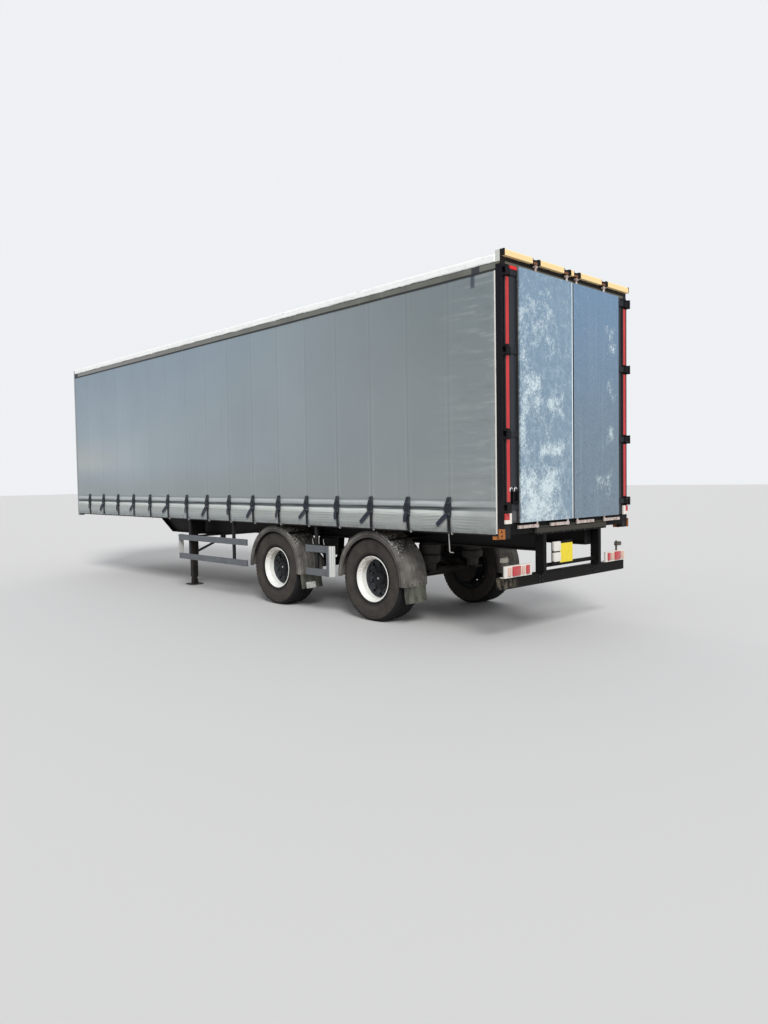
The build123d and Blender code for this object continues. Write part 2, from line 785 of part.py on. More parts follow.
def air_vessels():
    """Brake chambers on the axles and the air tank slung under the bearers."""
    pieces = []
    y, centre = brake_chamber["y"], tyre_radius + brake_chamber["rise"]
    for x in axle_xs.values():
        rear, front = (ahead(x) + reach for reach in brake_chamber["ahead"])
        chamber = rod((rear, y, centre), (front, y, centre), brake_chamber["radius"])
        rear, front = (ahead(x) + reach for reach in brake_chamber["band"])
        chamber += rod((rear, y, centre), (front, y, centre), brake_chamber["band_radius"])
        chamber += block((ahead(x) + axle_radius, ahead(x) + brake_chamber["ahead"][0] + 1),
                         (y - 50, y + 50), (tyre_radius - 30, centre + 50))
        pieces += both(chamber)
    stations = bearer_xs()[8:10]
    radius, z = air_tank["radius"], air_tank["height"]
    low, high = stations[0] - air_tank["overhang"], stations[1] + bearer_flange + air_tank["overhang"]
    tank = rod((low, 0, z), (high, 0, z), radius)
    tank = chamfer(tank.edges().filter_by(GeomType.CIRCLE), air_tank["end"])
    for x in stations:
        tank += block((x, x + bearer_flange), (-radius - 6, radius + 6), (z, rail_z - bearer_depth))
        tank -= block((x, x + bearer_flange), (-radius + 30, radius - 30),
                      (z + radius, rail_z - bearer_depth))
    pieces.append(tank)
    return pieces


def tyre(x):
    """Wide tyre: bead, wall, shoulder and flat tread on each side of the wheel's middle plane."""
    half = [
        (rim_half_width - 13, bead_radius), (rim_half_width - 11, rim_flange_radius + 3.5),
        (tyre_half_width, bead_radius + 114), (tyre_half_width - 6, tyre_radius - 52),
        (tyre_half_width - 20, tyre_radius - 20), (tread_half_width, tyre_radius),
    ]
    outer = [(mount_plane_y + y, radius) for y, radius in half]
    inner = [(mount_plane_y - y, radius) for y, radius in reversed(half)]
    return turned(outer + inner, ahead(x), tyre_radius)


def rim(x):
    """Disc wheel with its drop well, the disc in the middle plane and ten hand holes in it."""
    edge, seat, well = rim_half_width, bead_radius - fit_gap, 250
    points = [
        (disc_thickness, spigot_radius + 1), (disc_thickness, disc_radius), (30, well), (edge - 55, well),
        (edge - 9, 273), (edge, rim_flange_radius), (edge - 10, rim_flange_radius), (edge - 13, seat),
        (edge - 52, 272), (edge - 66, 262), (66 - edge, 262), (52 - edge, 272), (13 - edge, seat),
        (10 - edge, rim_flange_radius), (-edge, rim_flange_radius), (9 - edge, 273), (55 - edge, well),
        (-18, well), (0, disc_radius), (0, spigot_radius + 1),
    ]
    wheel = turned([(mount_plane_y + y, radius) for y, radius in points], ahead(x), tyre_radius)
    plane = Plane(origin=(ahead(x), mount_plane_y + 40, tyre_radius), z_dir=(0, -1, 0))
    ring = Sketch() + [place * Circle(hand_hole_radius) for place in PolarLocations(hand_hole_ring, 10)]
    return wheel - extrude(plane * ring, 60)


def hub(x):
    """Hub with its spigot, grease cap and brake drum, running on the spindle."""
    bore = spindle_radius + running_clearance
    flange, cap = mount_plane_y, spindle_end
    cap_end = cap + hub_cap["length"]
    plate_end = mount_plane_y - back_plate["behind"] + back_plate["thickness"]
    barrel, drum_end = plate_end + 76, plate_end + 8
    section = [
        (barrel, bore), (barrel, 80), (flange - 39, 80), (flange - 39, drum_radius - 19),
        (drum_end, drum_radius - 19), (drum_end, drum_radius), (flange, drum_radius - 36),
        (flange, spigot_radius), (flange + 22, spigot_radius), (flange + 28, hub_cap["radius"] + 3),
        (cap, hub_cap["radius"]), (cap_end, hub_cap["end_radius"]), (cap_end, 0), (cap + 6, 0),
        (cap + 6, bore),
    ]
    return turned(section, ahead(x), tyre_radius)


# Guards and flaps

def mudguard(x):
    """Rolled guard with a lip down each side, open below."""
    low, high, top = guard_inner_y, guard_outer_y, guard_radius
    section = [
        (low, top - guard_lip), (low, top), (high, top), (high, top - guard_lip),
        (high - guard_sheet, top - guard_lip), (high - guard_sheet, top - guard_sheet),
        (low + guard_sheet, top - guard_sheet), (low + guard_sheet, top - guard_lip),
    ]
    face = make_face(Polyline(*[(radius, y) for y, radius in section], close=True))
    shell = revolve(face, Axis.Y, -guard_rear_angle)
    return shell.moved(Location((ahead(x), 0, guard_centre_z)))


def mud_flap(x):
    """Rubber flap that hangs inside the guard's rear end."""
    rear = ahead(x) - (guard_radius - guard_sheet) * cos(radians(guard_rear_angle - 180)) + fit_gap
    return block((rear, rear + flap_thickness), (guard_inner_y + flap_inset, guard_outer_y - flap_inset),
                 (flap_bottom, guard_centre_z + flap_lap))


def guard_table():
    """Front and mid side guards: rail's rear end, rail's front end, and posts along it."""
    rear, front = axle_xs["front"] + front_guard["ahead_of_axle"], leg_x - front_guard["behind_leg"]
    mid_rear = axle_xs["rear"] + mid_guard["ahead_of_axle"]
    mid_front = axle_xs["front"] - mid_guard["behind_axle"]
    return [
        {"rear": rear, "front": front, "posts": [rear + 370, front - 360], "end": "front"},
        {"rear": mid_rear, "front": mid_front, "posts": [mid_rear + 280], "end": "rear"},
    ]


def side_guards():
    pieces = []
    outer, inner = side_rail_outer_y, side_rail_outer_y - side_rail_thickness
    for guard in guard_table():
        rails = None
        for low in (side_rail_lower, side_rail_upper):
            rail = block((ahead(guard["rear"]), ahead(guard["front"])), (inner, outer),
                         (low, low + side_rail_height))
            rails = rail if rails is None else rails + rail
        heights = (side_rail_lower, side_rail_upper + side_rail_height)
        if guard["end"] == "front":
            rails += block((ahead(guard["front"] - 8), ahead(guard["front"])), (outer - 95, outer), heights)
        else:
            x = ahead(guard["rear"])
            end_x, end_y = x - mid_guard["end_length"], outer - mid_guard["end_turn"]
            plan = [(x + 60, outer + 3), (x, outer + 3), (end_x, end_y), (end_x, end_y - 6),
                    (x - 3, outer - 4), (x + 60, outer - 4)]
            rails += along_z(plan, *heights)
        for post in guard["posts"]:
            rails += block((ahead(post), ahead(post + guard_post_width)), (inner - guard_post_depth, inner),
                           heights)
        pieces += both(rails)
    return pieces


def guard_hangers():
    """Straps from the raves down to the side guards, and the tubes that carry the mudguards."""
    inner = side_rail_outer_y - side_rail_thickness - guard_post_depth
    pieces = []
    for guard in guard_table():
        for post in guard["posts"]:
            hanger = block((ahead(post), ahead(post + guard_post_width)), (inner, inner + guard_post_depth),
                           (side_rail_upper + side_rail_height, rave_bottom))
            pieces += both(hanger)
    reach = guard_radius + stay_radius
    for x in axle_xs.values():
        for angle in (55, 125):
            stay_x = ahead(x) + reach * cos(radians(angle))
            stay_z = guard_centre_z + reach * sin(radians(angle))
            stay = rod((stay_x, rail_y + rail_web / 2, stay_z), (stay_x, guard_outer_y - 10, stay_z),
                       stay_radius)
            pieces += both(stay)
    return pieces


# Rear end below the doors

def underrun_frame():
    """Beam across the chassis end and the two posts that carry the bar."""
    lip_top = sill_bottom + end_lip
    beam = block((ahead(end_frame_rear), ahead(post_front)), (-end_frame_y, end_frame_y),
                 (end_beam_bottom, lip_top))
    beam -= block((ahead(post_rear), ahead(post_front)), (-end_frame_y, end_frame_y),
                  (sill_bottom, lip_top))
    post = block((ahead(end_frame_rear), ahead(post_front)), (end_post_y, end_post_y + end_post_width),
                 (bar_top, end_beam_bottom))
    carrier_face, cross_z = ahead(plate_face + plate_thickness), bar_top + cross_bar["rise"]
    bar = block((ahead(cross_bar["rear"]), ahead(cross_bar["front"])), (-end_post_y, end_post_y),
                (cross_z, cross_z + cross_bar["height"]))
    bar += block((carrier_face, carrier_face + 6), (0, carrier_width),
                 (plate_bottom - 15, plate_top + carrier_margin))
    bar += block((carrier_face, ahead(cross_bar["rear"])), (0, carrier_width),
                 (plate_bottom - 15, plate_bottom - 5))
    return [beam, bar] + both(post)


def underrun_bar():
    bar = block((ahead(bar_rear), ahead(bar_rear + bar_depth)), (-bar_half_width, bar_half_width),
                (bar_bottom, bar_top))
    bar = chamfer(bar.edges().filter_by(Axis.Y), 12)
    return [bar]


def lamp_boards():
    """White boards for the rear lamps on feet over the bar, and the two small plate lamps."""
    rear, back = ahead(bar_rear) - board_thickness, ahead(bar_rear)
    board = block((rear, back), (board_inner_y, bar_half_width), (bar_top, board_top))
    board += block((rear, back + board_foot), (board_inner_y, bar_half_width),
                   (bar_top, bar_top + board_sheet))
    lamps = []
    for low, high in plate_lamps:
        lamp = block((ahead(plate_face - 20), ahead(plate_face + plate_thickness)),
                     (plate_width + 13, carrier_width - 9), (plate_bottom + low, plate_bottom + high))
        lamps.append(fillet(lamp.edges().filter_by(Axis.X), 16))
    return both(board) + lamps


def rear_lamps():
    """Lenses on the boards: distance from the board's inner end, width and height."""
    lenses = [(48, 60, 96), (135, 50, 84), (212, 140, 104), (380, 52, 90)]
    front, middle = ahead(bar_rear) - board_thickness, (bar_top + board_top) / 2
    pieces = []
    for start, width, height in lenses:
        lens = block((front - lens_depth, front), (board_inner_y + start, board_inner_y + start + width),
                     (middle - height / 2, middle + height / 2))
        pieces += both(lens)
    return pieces


def number_plate():
    return [block((ahead(plate_face), ahead(plate_face + plate_thickness)), (0, plate_width),
                  (plate_bottom, plate_top))]


def outline_markers():
    """Two-colour markers at the feet of the posts, and the rubber stalk lamps on the boards."""
    marker = block((ahead(post_rear - marker_depth), ahead(post_rear)),
                   (post_inner_y, half_width - marker_inset), marker_z)
    marker = fillet(marker.edges().filter_by(Axis.Z).group_by(Axis.X)[0], 8)
    x = ahead(bar_rear) - board_thickness / 2
    lamps = []
    for y, height in stalks.values():
        top, outwards = board_top + height, 1 if y > 0 else -1
        head_ends = sorted((y - outwards * stalk_head["inner"], y + outwards * stalk_head["outer"]))
        head_z = (top - stalk_head["drop"][0], top - stalk_head["drop"][1])
        stalk = block((x - 9, x + 9), (y - 9, y + 9), (board_top, top))
        stalk += block((x - 20, x + 20), head_ends, head_z)
        lamps.append(stalk)
    return both(marker) + lamps


def door_fittings():
    """Red lens at the top of the left door's edge and the hold-back block above the lowest hinge."""
    face = ahead(panel_depth)
    lens = block((face - 18, face), (panel_half_width + 15, leaf_outer_y - 4), top_lens_z)
    hold_back = block((face - hold_back_depth, face), hold_back_y, hold_back_z)
    hold_back -= block((face - hold_back_depth, face - 12), (hold_back_y[0] + 22, hold_back_y[1] - 22),
                       (hold_back_z[0] + 25, hold_back_z[1]))
    return [lens, hold_back]


for node, make in {
    "chassis_rails": chassis_rails, "cross_bearers": cross_bearers, "deck_floor": deck_floor,
    "side_raves": side_raves, "front_bulkhead": front_bulkhead, "rear_posts": rear_posts,
    "post_strips": post_strips, "rear_header": rear_header, "header_cowl": header_cowl,
    "rear_sill": rear_sill, "hinge_lugs": hinge_lugs, "curtain_straps": curtain_straps,
    "curtain_tensioners": curtain_tensioners, "cant_rails": cant_rails, "roof_sheet": roof_sheet,
    "roof_bows": roof_bows, "sliding_pillars": sliding_pillars, "skid_plate": skid_plate,
    "kingpin": kingpin, "landing_legs": landing_legs, "landing_feet": landing_feet,
    "air_vessels": air_vessels, "side_guards": side_guards, "guard_hangers": guard_hangers,
    "underrun_frame": underrun_frame, "underrun_bar": underrun_bar, "lamp_boards": lamp_boards,
    "rear_lamps": rear_lamps, "number_plate": number_plate, "outline_markers": outline_markers,
    "door_fittings_left": door_fittings,
}.items():
    save(node, make())

for side, place in {"left": lambda solid: solid, "right": right_of}.items():
    save(f"curtain_{side}", [place(curtain())])
    save(f"door_{side}", [place(door_leaf())])
    save(f"door_hinges_{side}", [place(blade) for blade in door_hinges()])
    save(f"door_panel_{side}", [place(door_panel())])
    save(f"lock_rods_{side}", [place(bar) for bar in lock_rods()])
    for name, x in axle_xs.items():
        save(f"tyres_{name}_{side}", [place(tyre(x))])
        save(f"rims_{name}_{side}", [place(rim(x))])
        save(f"hub_{name}_{side}", [place(hub(x))])

save("axles", [axle(x) for x in axle_xs.values()])
save("suspension", [piece for x in axle_xs.values() for piece in suspension(x)])
save("air_bags", [piece for x in axle_xs.values() for piece in both(air_bag(x))])
save("mudguards", [piece for x in axle_xs.values() for piece in both(mudguard(x))])
save("mud_flaps", [piece for x in axle_xs.values() for piece in both(mud_flap(x))])
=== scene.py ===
import math

import bmesh
import bpy
import numpy as np
from mathutils import Matrix, Vector


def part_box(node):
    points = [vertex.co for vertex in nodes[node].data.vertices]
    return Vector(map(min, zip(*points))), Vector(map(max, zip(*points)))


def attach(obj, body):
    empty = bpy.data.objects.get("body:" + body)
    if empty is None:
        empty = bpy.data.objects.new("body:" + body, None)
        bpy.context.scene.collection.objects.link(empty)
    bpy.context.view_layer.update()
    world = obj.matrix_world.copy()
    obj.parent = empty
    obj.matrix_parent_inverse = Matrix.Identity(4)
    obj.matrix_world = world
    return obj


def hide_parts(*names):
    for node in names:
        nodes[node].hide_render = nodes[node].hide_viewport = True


# A curtain-sided semi trailer: the frame gives every size, this file gives every surface.
# Metres. +X is forward, +Y is left, +Z is up, the ground is at z = 0.

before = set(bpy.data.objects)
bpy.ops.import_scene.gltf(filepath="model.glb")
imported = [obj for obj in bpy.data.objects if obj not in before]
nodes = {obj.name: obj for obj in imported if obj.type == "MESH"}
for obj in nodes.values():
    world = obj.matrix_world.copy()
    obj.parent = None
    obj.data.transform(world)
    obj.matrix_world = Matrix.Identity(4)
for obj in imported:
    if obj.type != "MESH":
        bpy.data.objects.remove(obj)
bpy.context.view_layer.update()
draw = np.random.default_rng(7018)
sides = (("left", 1), ("right", -1))
print("frame loaded:", len(nodes), "nodes")


def nodeBox(name):
    return [np.array(corner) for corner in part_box(name)]


rearX = nodeBox("door_panel_left")[0][0]          # rear face of the doors' cover panels


def ahead(distance):
    return rearX + distance


def tone(red, green, blue):
    # screen colour 0..255 to the shader's linear colour
    values = np.array([red, green, blue]) / 255
    linear = np.where(values > 0.04045, ((values + 0.055) / 1.055) ** 2.4, values / 12.92)
    return (*linear.tolist(), 1.0)


# Shapes: a shape is a pair of its points (n, 3) and a list of face arrays, one per corner count

def gridShape(points, closeRows=False, closeColumns=False):
    # points[i, j] is joined to its neighbours i + 1 and j + 1; a closed direction joins its last to its first
    rows, columns = points.shape[:2]
    index = np.arange(rows * columns).reshape(rows, columns)
    if closeRows:
        index = np.vstack([index, index[:1]])
    if closeColumns:
        index = np.hstack([index, index[:, :1]])
    quads = np.stack([index[:-1, :-1], index[1:, :-1], index[1:, 1:], index[:-1, 1:]], -1)
    return points.reshape(-1, 3), [quads.reshape(-1, 4)]


def joined(shapes):
    # the points of all shapes in a row, and each face array moved on by the points before it
    points, faces, offset = [], [], 0
    for shapePoints, shapeFaces in shapes:
        points.append(shapePoints)
        faces += [array + offset for array in shapeFaces]
        offset += len(shapePoints)
    return np.vstack(points), faces


def capped(points):
    # a stack of rings, points[ring, corner], with a flat face on the first and the last ring
    rings, corners = points.shape[:2]
    shapePoints, faces = gridShape(points, closeColumns=True)
    first = np.arange(corners)[None, ::-1]
    last = np.arange(corners)[None] + (rings - 1) * corners
    return shapePoints, faces + [first, last]


def turned(y, r, centre, segments):
    # the loop of y and r, one row a point, turns about the Y line: x = cx + r cos a, z = cz + r sin a
    angle = np.arange(segments) * 2 * math.pi / segments
    points = np.stack([centre[0] + r * np.cos(angle), centre[1] + y + 0 * angle, centre[2] + r * np.sin(angle)], -1)
    return gridShape(points, closeRows=True, closeColumns=True)


def sweep(path, section, side):
    # each (a, b) of the section sits at path + a * side + b * (tangent x side), with flat ends
    path, section, side = np.array(path, float), np.array(section, float), np.array(side, float)
    tangent = np.gradient(path, axis=0)
    tangent /= np.linalg.norm(tangent, axis=1)[:, None]
    across = side / np.linalg.norm(side) - (tangent @ side)[:, None] * tangent / np.linalg.norm(side)
    across /= np.linalg.norm(across, axis=1)[:, None]
    up = np.cross(tangent, across)
    return capped(path[:, None] + section[None, :, 0, None] * across[:, None]
                  + section[None, :, 1, None] * up[:, None])


def circle(radius, count=10):
    # count points of (r cos a, r sin a)
    angle = np.linspace(0, 2 * math.pi, count, endpoint=False)
    return radius * np.stack([np.cos(angle), np.sin(angle)], -1)


def bar(width, thickness):
    # the four corners of a flat bar
    return np.array([[-1, -1], [1, -1], [1, 1], [-1, 1]]) * [width / 2, thickness / 2]


def pill(low, high, radius=0.004, steps=2):
    # a ball of the given radius whose eight octants are moved out to the corners of the box
    low, high = np.minimum(low, high), np.maximum(low, high)
    half, middle = (high - low) / 2, (high + low) / 2
    radius = min(radius, *half)
    quarter, step = np.divmod(np.arange(4 * (steps + 1)), steps + 1)
    azimuth = (step / steps + quarter) * math.pi / 2
    height = np.concatenate([np.linspace(-1, 0, steps + 1), np.linspace(0, 1, steps + 1)]) * math.pi / 2
    corner = np.array([[1, 1], [-1, 1], [-1, -1], [1, -1]])[quarter]
    flat = np.stack([np.cos(azimuth), np.sin(azimuth)], -1)
    xy = radius * np.cos(height)[:, None, None] * flat + (half[:2] - radius) * corner
    z = radius * np.sin(height) + (half[2] - radius) * np.repeat([-1, 1], steps + 1)
    points = np.concatenate([xy, np.broadcast_to(z[:, None, None], xy.shape[:2] + (1,))], -1)
    return capped(points + middle)


def stacked(outlines):
    # one ring for each pair of a flat outline and its height
    return capped(np.array([np.column_stack([outline, np.full(len(outline), z)]) for outline, z in outlines]))


def hexBolt(size, height):
    # a washer, a six-sided head and its worn top, along +Z from the origin
    washer, head, foot = circle(size * 0.62, 12), circle(size * 0.56, 6), height * 0.2
    return joined([stacked([(washer, 0), (washer, foot)]),
                   stacked([(head, foot), (head, height * 0.9), (head * 0.86, height)])])


def dome(radius, height, count=10):
    # rings of radius r cos t at height h sin t, closed by a small flat top
    return stacked([(circle(radius * math.cos(t), count), height * math.sin(t)) for t in (0, 0.5, 1.0, 1.4)])


def stamped(shape, spots, towards=(0, 0, 1)):
    # the shape's own +Z turned to face towards, then one copy at every spot
    turn = np.array(Vector((0, 0, 1)).rotation_difference(Vector(towards)).to_matrix())
    local = shape[0] @ turn.T
    return joined([(local + np.array(spot, float), shape[1]) for spot in spots])


def stampedBothSides(shape, spots):
    # outwards at every spot on the left, and outwards at the same spots on the right
    spots = np.array(spots)
    return [stamped(shape, spots * [1, sign, 1], (0, sign, 0)) for _, sign in sides]


def flipped(shape):
    # each face read backwards
    return shape[0], [array[:, ::-1] for array in shape[1]]


def mirrored(shape):
    # y to -y, with each face read backwards so that it still points outwards
    return flipped((shape[0] * [1, -1, 1], shape[1]))


def addPiece(name, shapes, material, body="trailer", replacing=(), smooth=40, wall=0, uv=None,
             recalc=True):
    # one mesh object from several shapes, riding on its body
    points, faces = joined(shapes)
    loops = np.concatenate([array.ravel() for array in faces])
    counts = np.concatenate([np.full(len(array), array.shape[1]) for array in faces])
    mesh = bpy.data.meshes.new(name)
    mesh.vertices.add(len(points))
    mesh.vertices.foreach_set("co", points.astype(np.float32).ravel())
    mesh.loops.add(len(loops))
    mesh.loops.foreach_set("vertex_index", loops.astype(np.int32))
    mesh.polygons.add(len(counts))
    mesh.polygons.foreach_set("loop_start", np.concatenate([[0], np.cumsum(counts)[:-1]]).astype(np.int32))
    mesh.update(calc_edges=True)
    mesh.validate()
    if recalc:
        work = bmesh.new()
        work.from_mesh(mesh)
        bmesh.ops.recalc_face_normals(work, faces=work.faces)
        work.to_mesh(mesh)
        work.free()
    if uv is not None:
        layer = mesh.uv_layers.new(name="cloth")
        layer.data.foreach_set("uv", uv[loops].astype(np.float32).ravel())
    mesh.polygons.foreach_set("use_smooth", np.ones(len(mesh.polygons), bool))
    mesh.set_sharp_from_angle(angle=math.radians(smooth))
    mesh.materials.append(material)
    piece = bpy.data.objects.new(name, mesh)
    bpy.context.scene.collection.objects.link(piece)
    if wall:
        solid = piece.modifiers.new("wall", "SOLIDIFY")
        solid.thickness = wall
        solid.offset = -1
    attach(piece, body)
    if replacing:
        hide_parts(*replacing)
    return piece


def bell(value, middle, width):
    return np.exp(-((value - middle) / width) ** 2)


def smooth01(value):
    value = np.clip(value, 0, 1)
    return value * value * (3 - 2 * value)


def ripple(u, v, count, seed, low=0.6, high=2.4):
    # a sum of count sines with random directions, pitches and phases, scaled to about -1..1
    pick = np.random.default_rng(seed)
    total = np.zeros(np.broadcast(u, v).shape)
    for _ in range(count):
        pitch, heading, phase = pick.uniform(low, high), pick.uniform(0, math.pi), pick.uniform(0, 2 * math.pi)
        total += np.sin(2 * math.pi * pitch * (u * math.cos(heading) + v * math.sin(heading)) + phase)
    return total / math.sqrt(count)


# Shader values: a formula of them adds its math nodes to their tree

class Value:
    def __init__(self, tree, socket):
        self.tree, self.socket = tree, socket

    def __add__(self, other):
        return calc("ADD", self, other)

    def __sub__(self, other):
        return calc("SUBTRACT", self, other)

    def __rsub__(self, other):
        return calc("SUBTRACT", other, self)

    def __mul__(self, other):
        return calc("MULTIPLY", self, other)

    def __truediv__(self, other):
        return calc("DIVIDE", self, other)

    def __abs__(self):
        return calc("ABSOLUTE", self)


def put(tree, kind, inputs=None, **settings):
    # a node with its settings, each input linked to a value or given a number; its outputs by number and name
    node = tree.nodes.new(kind)
    for key, setting in settings.items():
        setattr(node, key, setting)
    for key, given in (inputs or {}).items():
        if isinstance(given, Value):
            tree.links.new(given.socket, node.inputs[key])
        else:
            node.inputs[key].default_value = given
    return {key: Value(tree, socket) for i, socket in enumerate(node.outputs) for key in (i, socket.name)}


def calc(operation, first, second=0.0, clamp=False):
    tree = first.tree if isinstance(first, Value) else second.tree
    return put(tree, "ShaderNodeMath", {0: first, 1: second}, operation=operation, use_clamp=clamp)[0]


def clamped(value):
    return calc("ADD", value, 0.0, clamp=True)


def sine(value):
    return calc("SINE", value)


def union(masks):
    # the largest of several masks
    total, *others = masks
    for mask in others:
        total = calc("MAXIMUM", total, mask)
    return total


def vectorCalc(operation, *inputs, out=0):
    return put(inputs[0].tree, "ShaderNodeVectorMath", dict(enumerate(inputs)), operation=operation)[out]


def parts(vector):
    outputs = put(vector.tree, "ShaderNodeSeparateXYZ", {0: vector})
    return outputs[0], outputs[1], outputs[2]


def blend(mask, first, second, kind="RGBA"):
    a, b, out = (6, 7, 2) if kind == "RGBA" else (2, 3, 0)
    return put(mask.tree, "ShaderNodeMix", {0: mask, a: first, b: second}, data_type=kind)[out]


def band(value, low, high, first=0.0, second=1.0):
    # first below low, second above high, straight between
    return put(value.tree, "ShaderNodeMapRange", {0: value, 1: low, 2: high, 3: first, 4: second})[0]


def between(value, low, high, soft):
    # 1 from low to high, fading over soft on both sides
    return band(value, low - soft, low) * band(value, high + soft, high)


def noise(place, scale, detail=4.0, rough=0.55):
    # a scale of three numbers stretches the place along each axis
    if isinstance(scale, tuple):
        place, scale = vectorCalc("MULTIPLY", place, scale), 1.0
    inputs = {"Vector": place, "Scale": scale, "Detail": detail, "Roughness": rough}
    return put(place.tree, "ShaderNodeTexNoise", inputs)["Fac"]


def newGroup(name, build, outputs, **inputs):
    # build takes the group's inputs and the object's own place, and gives the outputs in their order
    tree = bpy.data.node_groups.new(name, "ShaderNodeTree")
    for label, value in inputs.items():
        kind = "NodeSocketVector" if isinstance(value, tuple) else "NodeSocketFloat"
        tree.interface.new_socket(name=label, in_out="INPUT", socket_type=kind).default_value = value
    for label in outputs:
        kind = "NodeSocketVector" if label == "Normal" else "NodeSocketFloat"
        tree.interface.new_socket(name=label, in_out="OUTPUT", socket_type=kind)
    results = build(put(tree, "NodeGroupInput"), put(tree, "ShaderNodeTexCoord")["Object"])
    final = tree.nodes.new("NodeGroupOutput")
    for label, result in zip(outputs, results):
        tree.links.new(result.socket, final.inputs[label])
    return tree


def roadDust(given, place):
    # dust fades upwards from the road and lies in clouds
    low = clamped((given["Top"] - parts(place)[2]) / given["Fade"])
    cloud = band(noise(place, given["Scale"], 7.0, 0.62), 0.36, 0.66)
    speck = band(noise(place, 90.0, 2.0, 0.5), 0.35, 0.7)
    return [clamped(low * (cloud * 0.75 + speck * 0.25) * given["Amount"])]


def paintGrain(given, place):
    # fine pitted grain for relief, and a slow mottling for colour
    return noise(place, given["Scale"], 3.0, 0.6), band(noise(place, given["Broad"], 6.0, 0.6), 0.3, 0.7)


def waterRuns(given, place):
    # noise drawn out along Z: water runs and wipe marks
    scale, cut = given["Scale"], given["Cut"]
    squeeze = put(place.tree, "ShaderNodeCombineXYZ", {0: scale, 1: scale, 2: scale / given["Stretch"]})[0]
    fine = noise(vectorCalc("MULTIPLY", place, squeeze), 1.0, 5.0, 0.6)
    return [band(fine, cut, cut + 0.16)]


def edgeWear(given, place):
    # the difference between the rounded and the true normal marks an edge; the rounded one is put out too
    rounded = put(place.tree, "ShaderNodeBevel", {"Radius": given["Width"]}, samples=4)[0]
    true = put(place.tree, "ShaderNodeNewGeometry")["True Normal"]
    ragged = band(noise(place, given["Ragged"], 5.0, 0.7), 0.42, 0.6)
    return rounded, band(vectorCalc("DOT_PRODUCT", rounded, true, out="Value"), 0.995, 0.93) * ragged


def zincSpangle(given, place):
    # flat crystals, each with its own brightness, and the height of cloudy residue with a crackled rim
    warp = put(place.tree, "ShaderNodeTexNoise", {"Vector": place, "Scale": 30.0})["Color"]
    bent = vectorCalc("MULTIPLY_ADD", warp, (0.02, 0.02, 0.02), place)
    cells = put(place.tree, "ShaderNodeTexVoronoi", {"Vector": bent, "Scale": given["Scale"]}, feature="F1")
    grey = put(place.tree, "ShaderNodeSeparateColor", {0: cells["Color"]})[0]
    crust = noise(place, 55.0, 4.0, 0.7)
    total = noise(place, 1.7, 2.0, 0.5) * 0.55 + noise(place, 9.0, 9.0, 0.72) * 0.33 + crust * 0.14
    return grey, band(total, 0.515, 0.60) * 0.6 + crust * 0.4


def boxZone(given, place):
    # 1 inside the box from Low to High, fading over Soft outside it
    below, above = vectorCalc("SUBTRACT", given["Low"], place), vectorCalc("SUBTRACT", place, given["High"])
    return [clamped(1.0 - union(parts(vectorCalc("MAXIMUM", below, above))) / given["Soft"])]


def wheelRing(given, place):
    # 1 nearer to the Y line through Centre than Radius, fading over Soft; the distance from the line; the angle
    gap = vectorCalc("SUBTRACT", place, given["Centre"])
    x, _, z = parts(gap)
    distance = vectorCalc("LENGTH", vectorCalc("MULTIPLY", gap, (1.0, 0.0, 1.0)), out="Value")
    return clamped((given["Radius"] - distance) / given["Soft"]), distance, calc("ARCTAN2", z, x)


dust = newGroup("roadDust", roadDust, ["Mask"], Top=1.2, Fade=1.0, Amount=0.6, Scale=3.0)
grain = newGroup("paintGrain", paintGrain, ["Height", "Mottle"], Scale=120.0, Broad=2.0)
runs = newGroup("waterRuns", waterRuns, ["Mask"], Scale=12.0, Stretch=14.0, Cut=0.55)
edges = newGroup("edgeWear", edgeWear, ["Normal", "Mask"], Width=0.004, Ragged=30.0)
spangle = newGroup("zincSpangle", zincSpangle, ["Crystal", "Height"], Scale=60.0)
zone = newGroup("boxZone", boxZone, ["Mask"], Low=(0, 0, 0), High=(1, 1, 1), Soft=0.01)
ring = newGroup("wheelRing", wheelRing, ["Mask", "Distance", "Angle"], Centre=(0, 0, 0), Radius=0.2, Soft=0.004)
print("shader groups built")


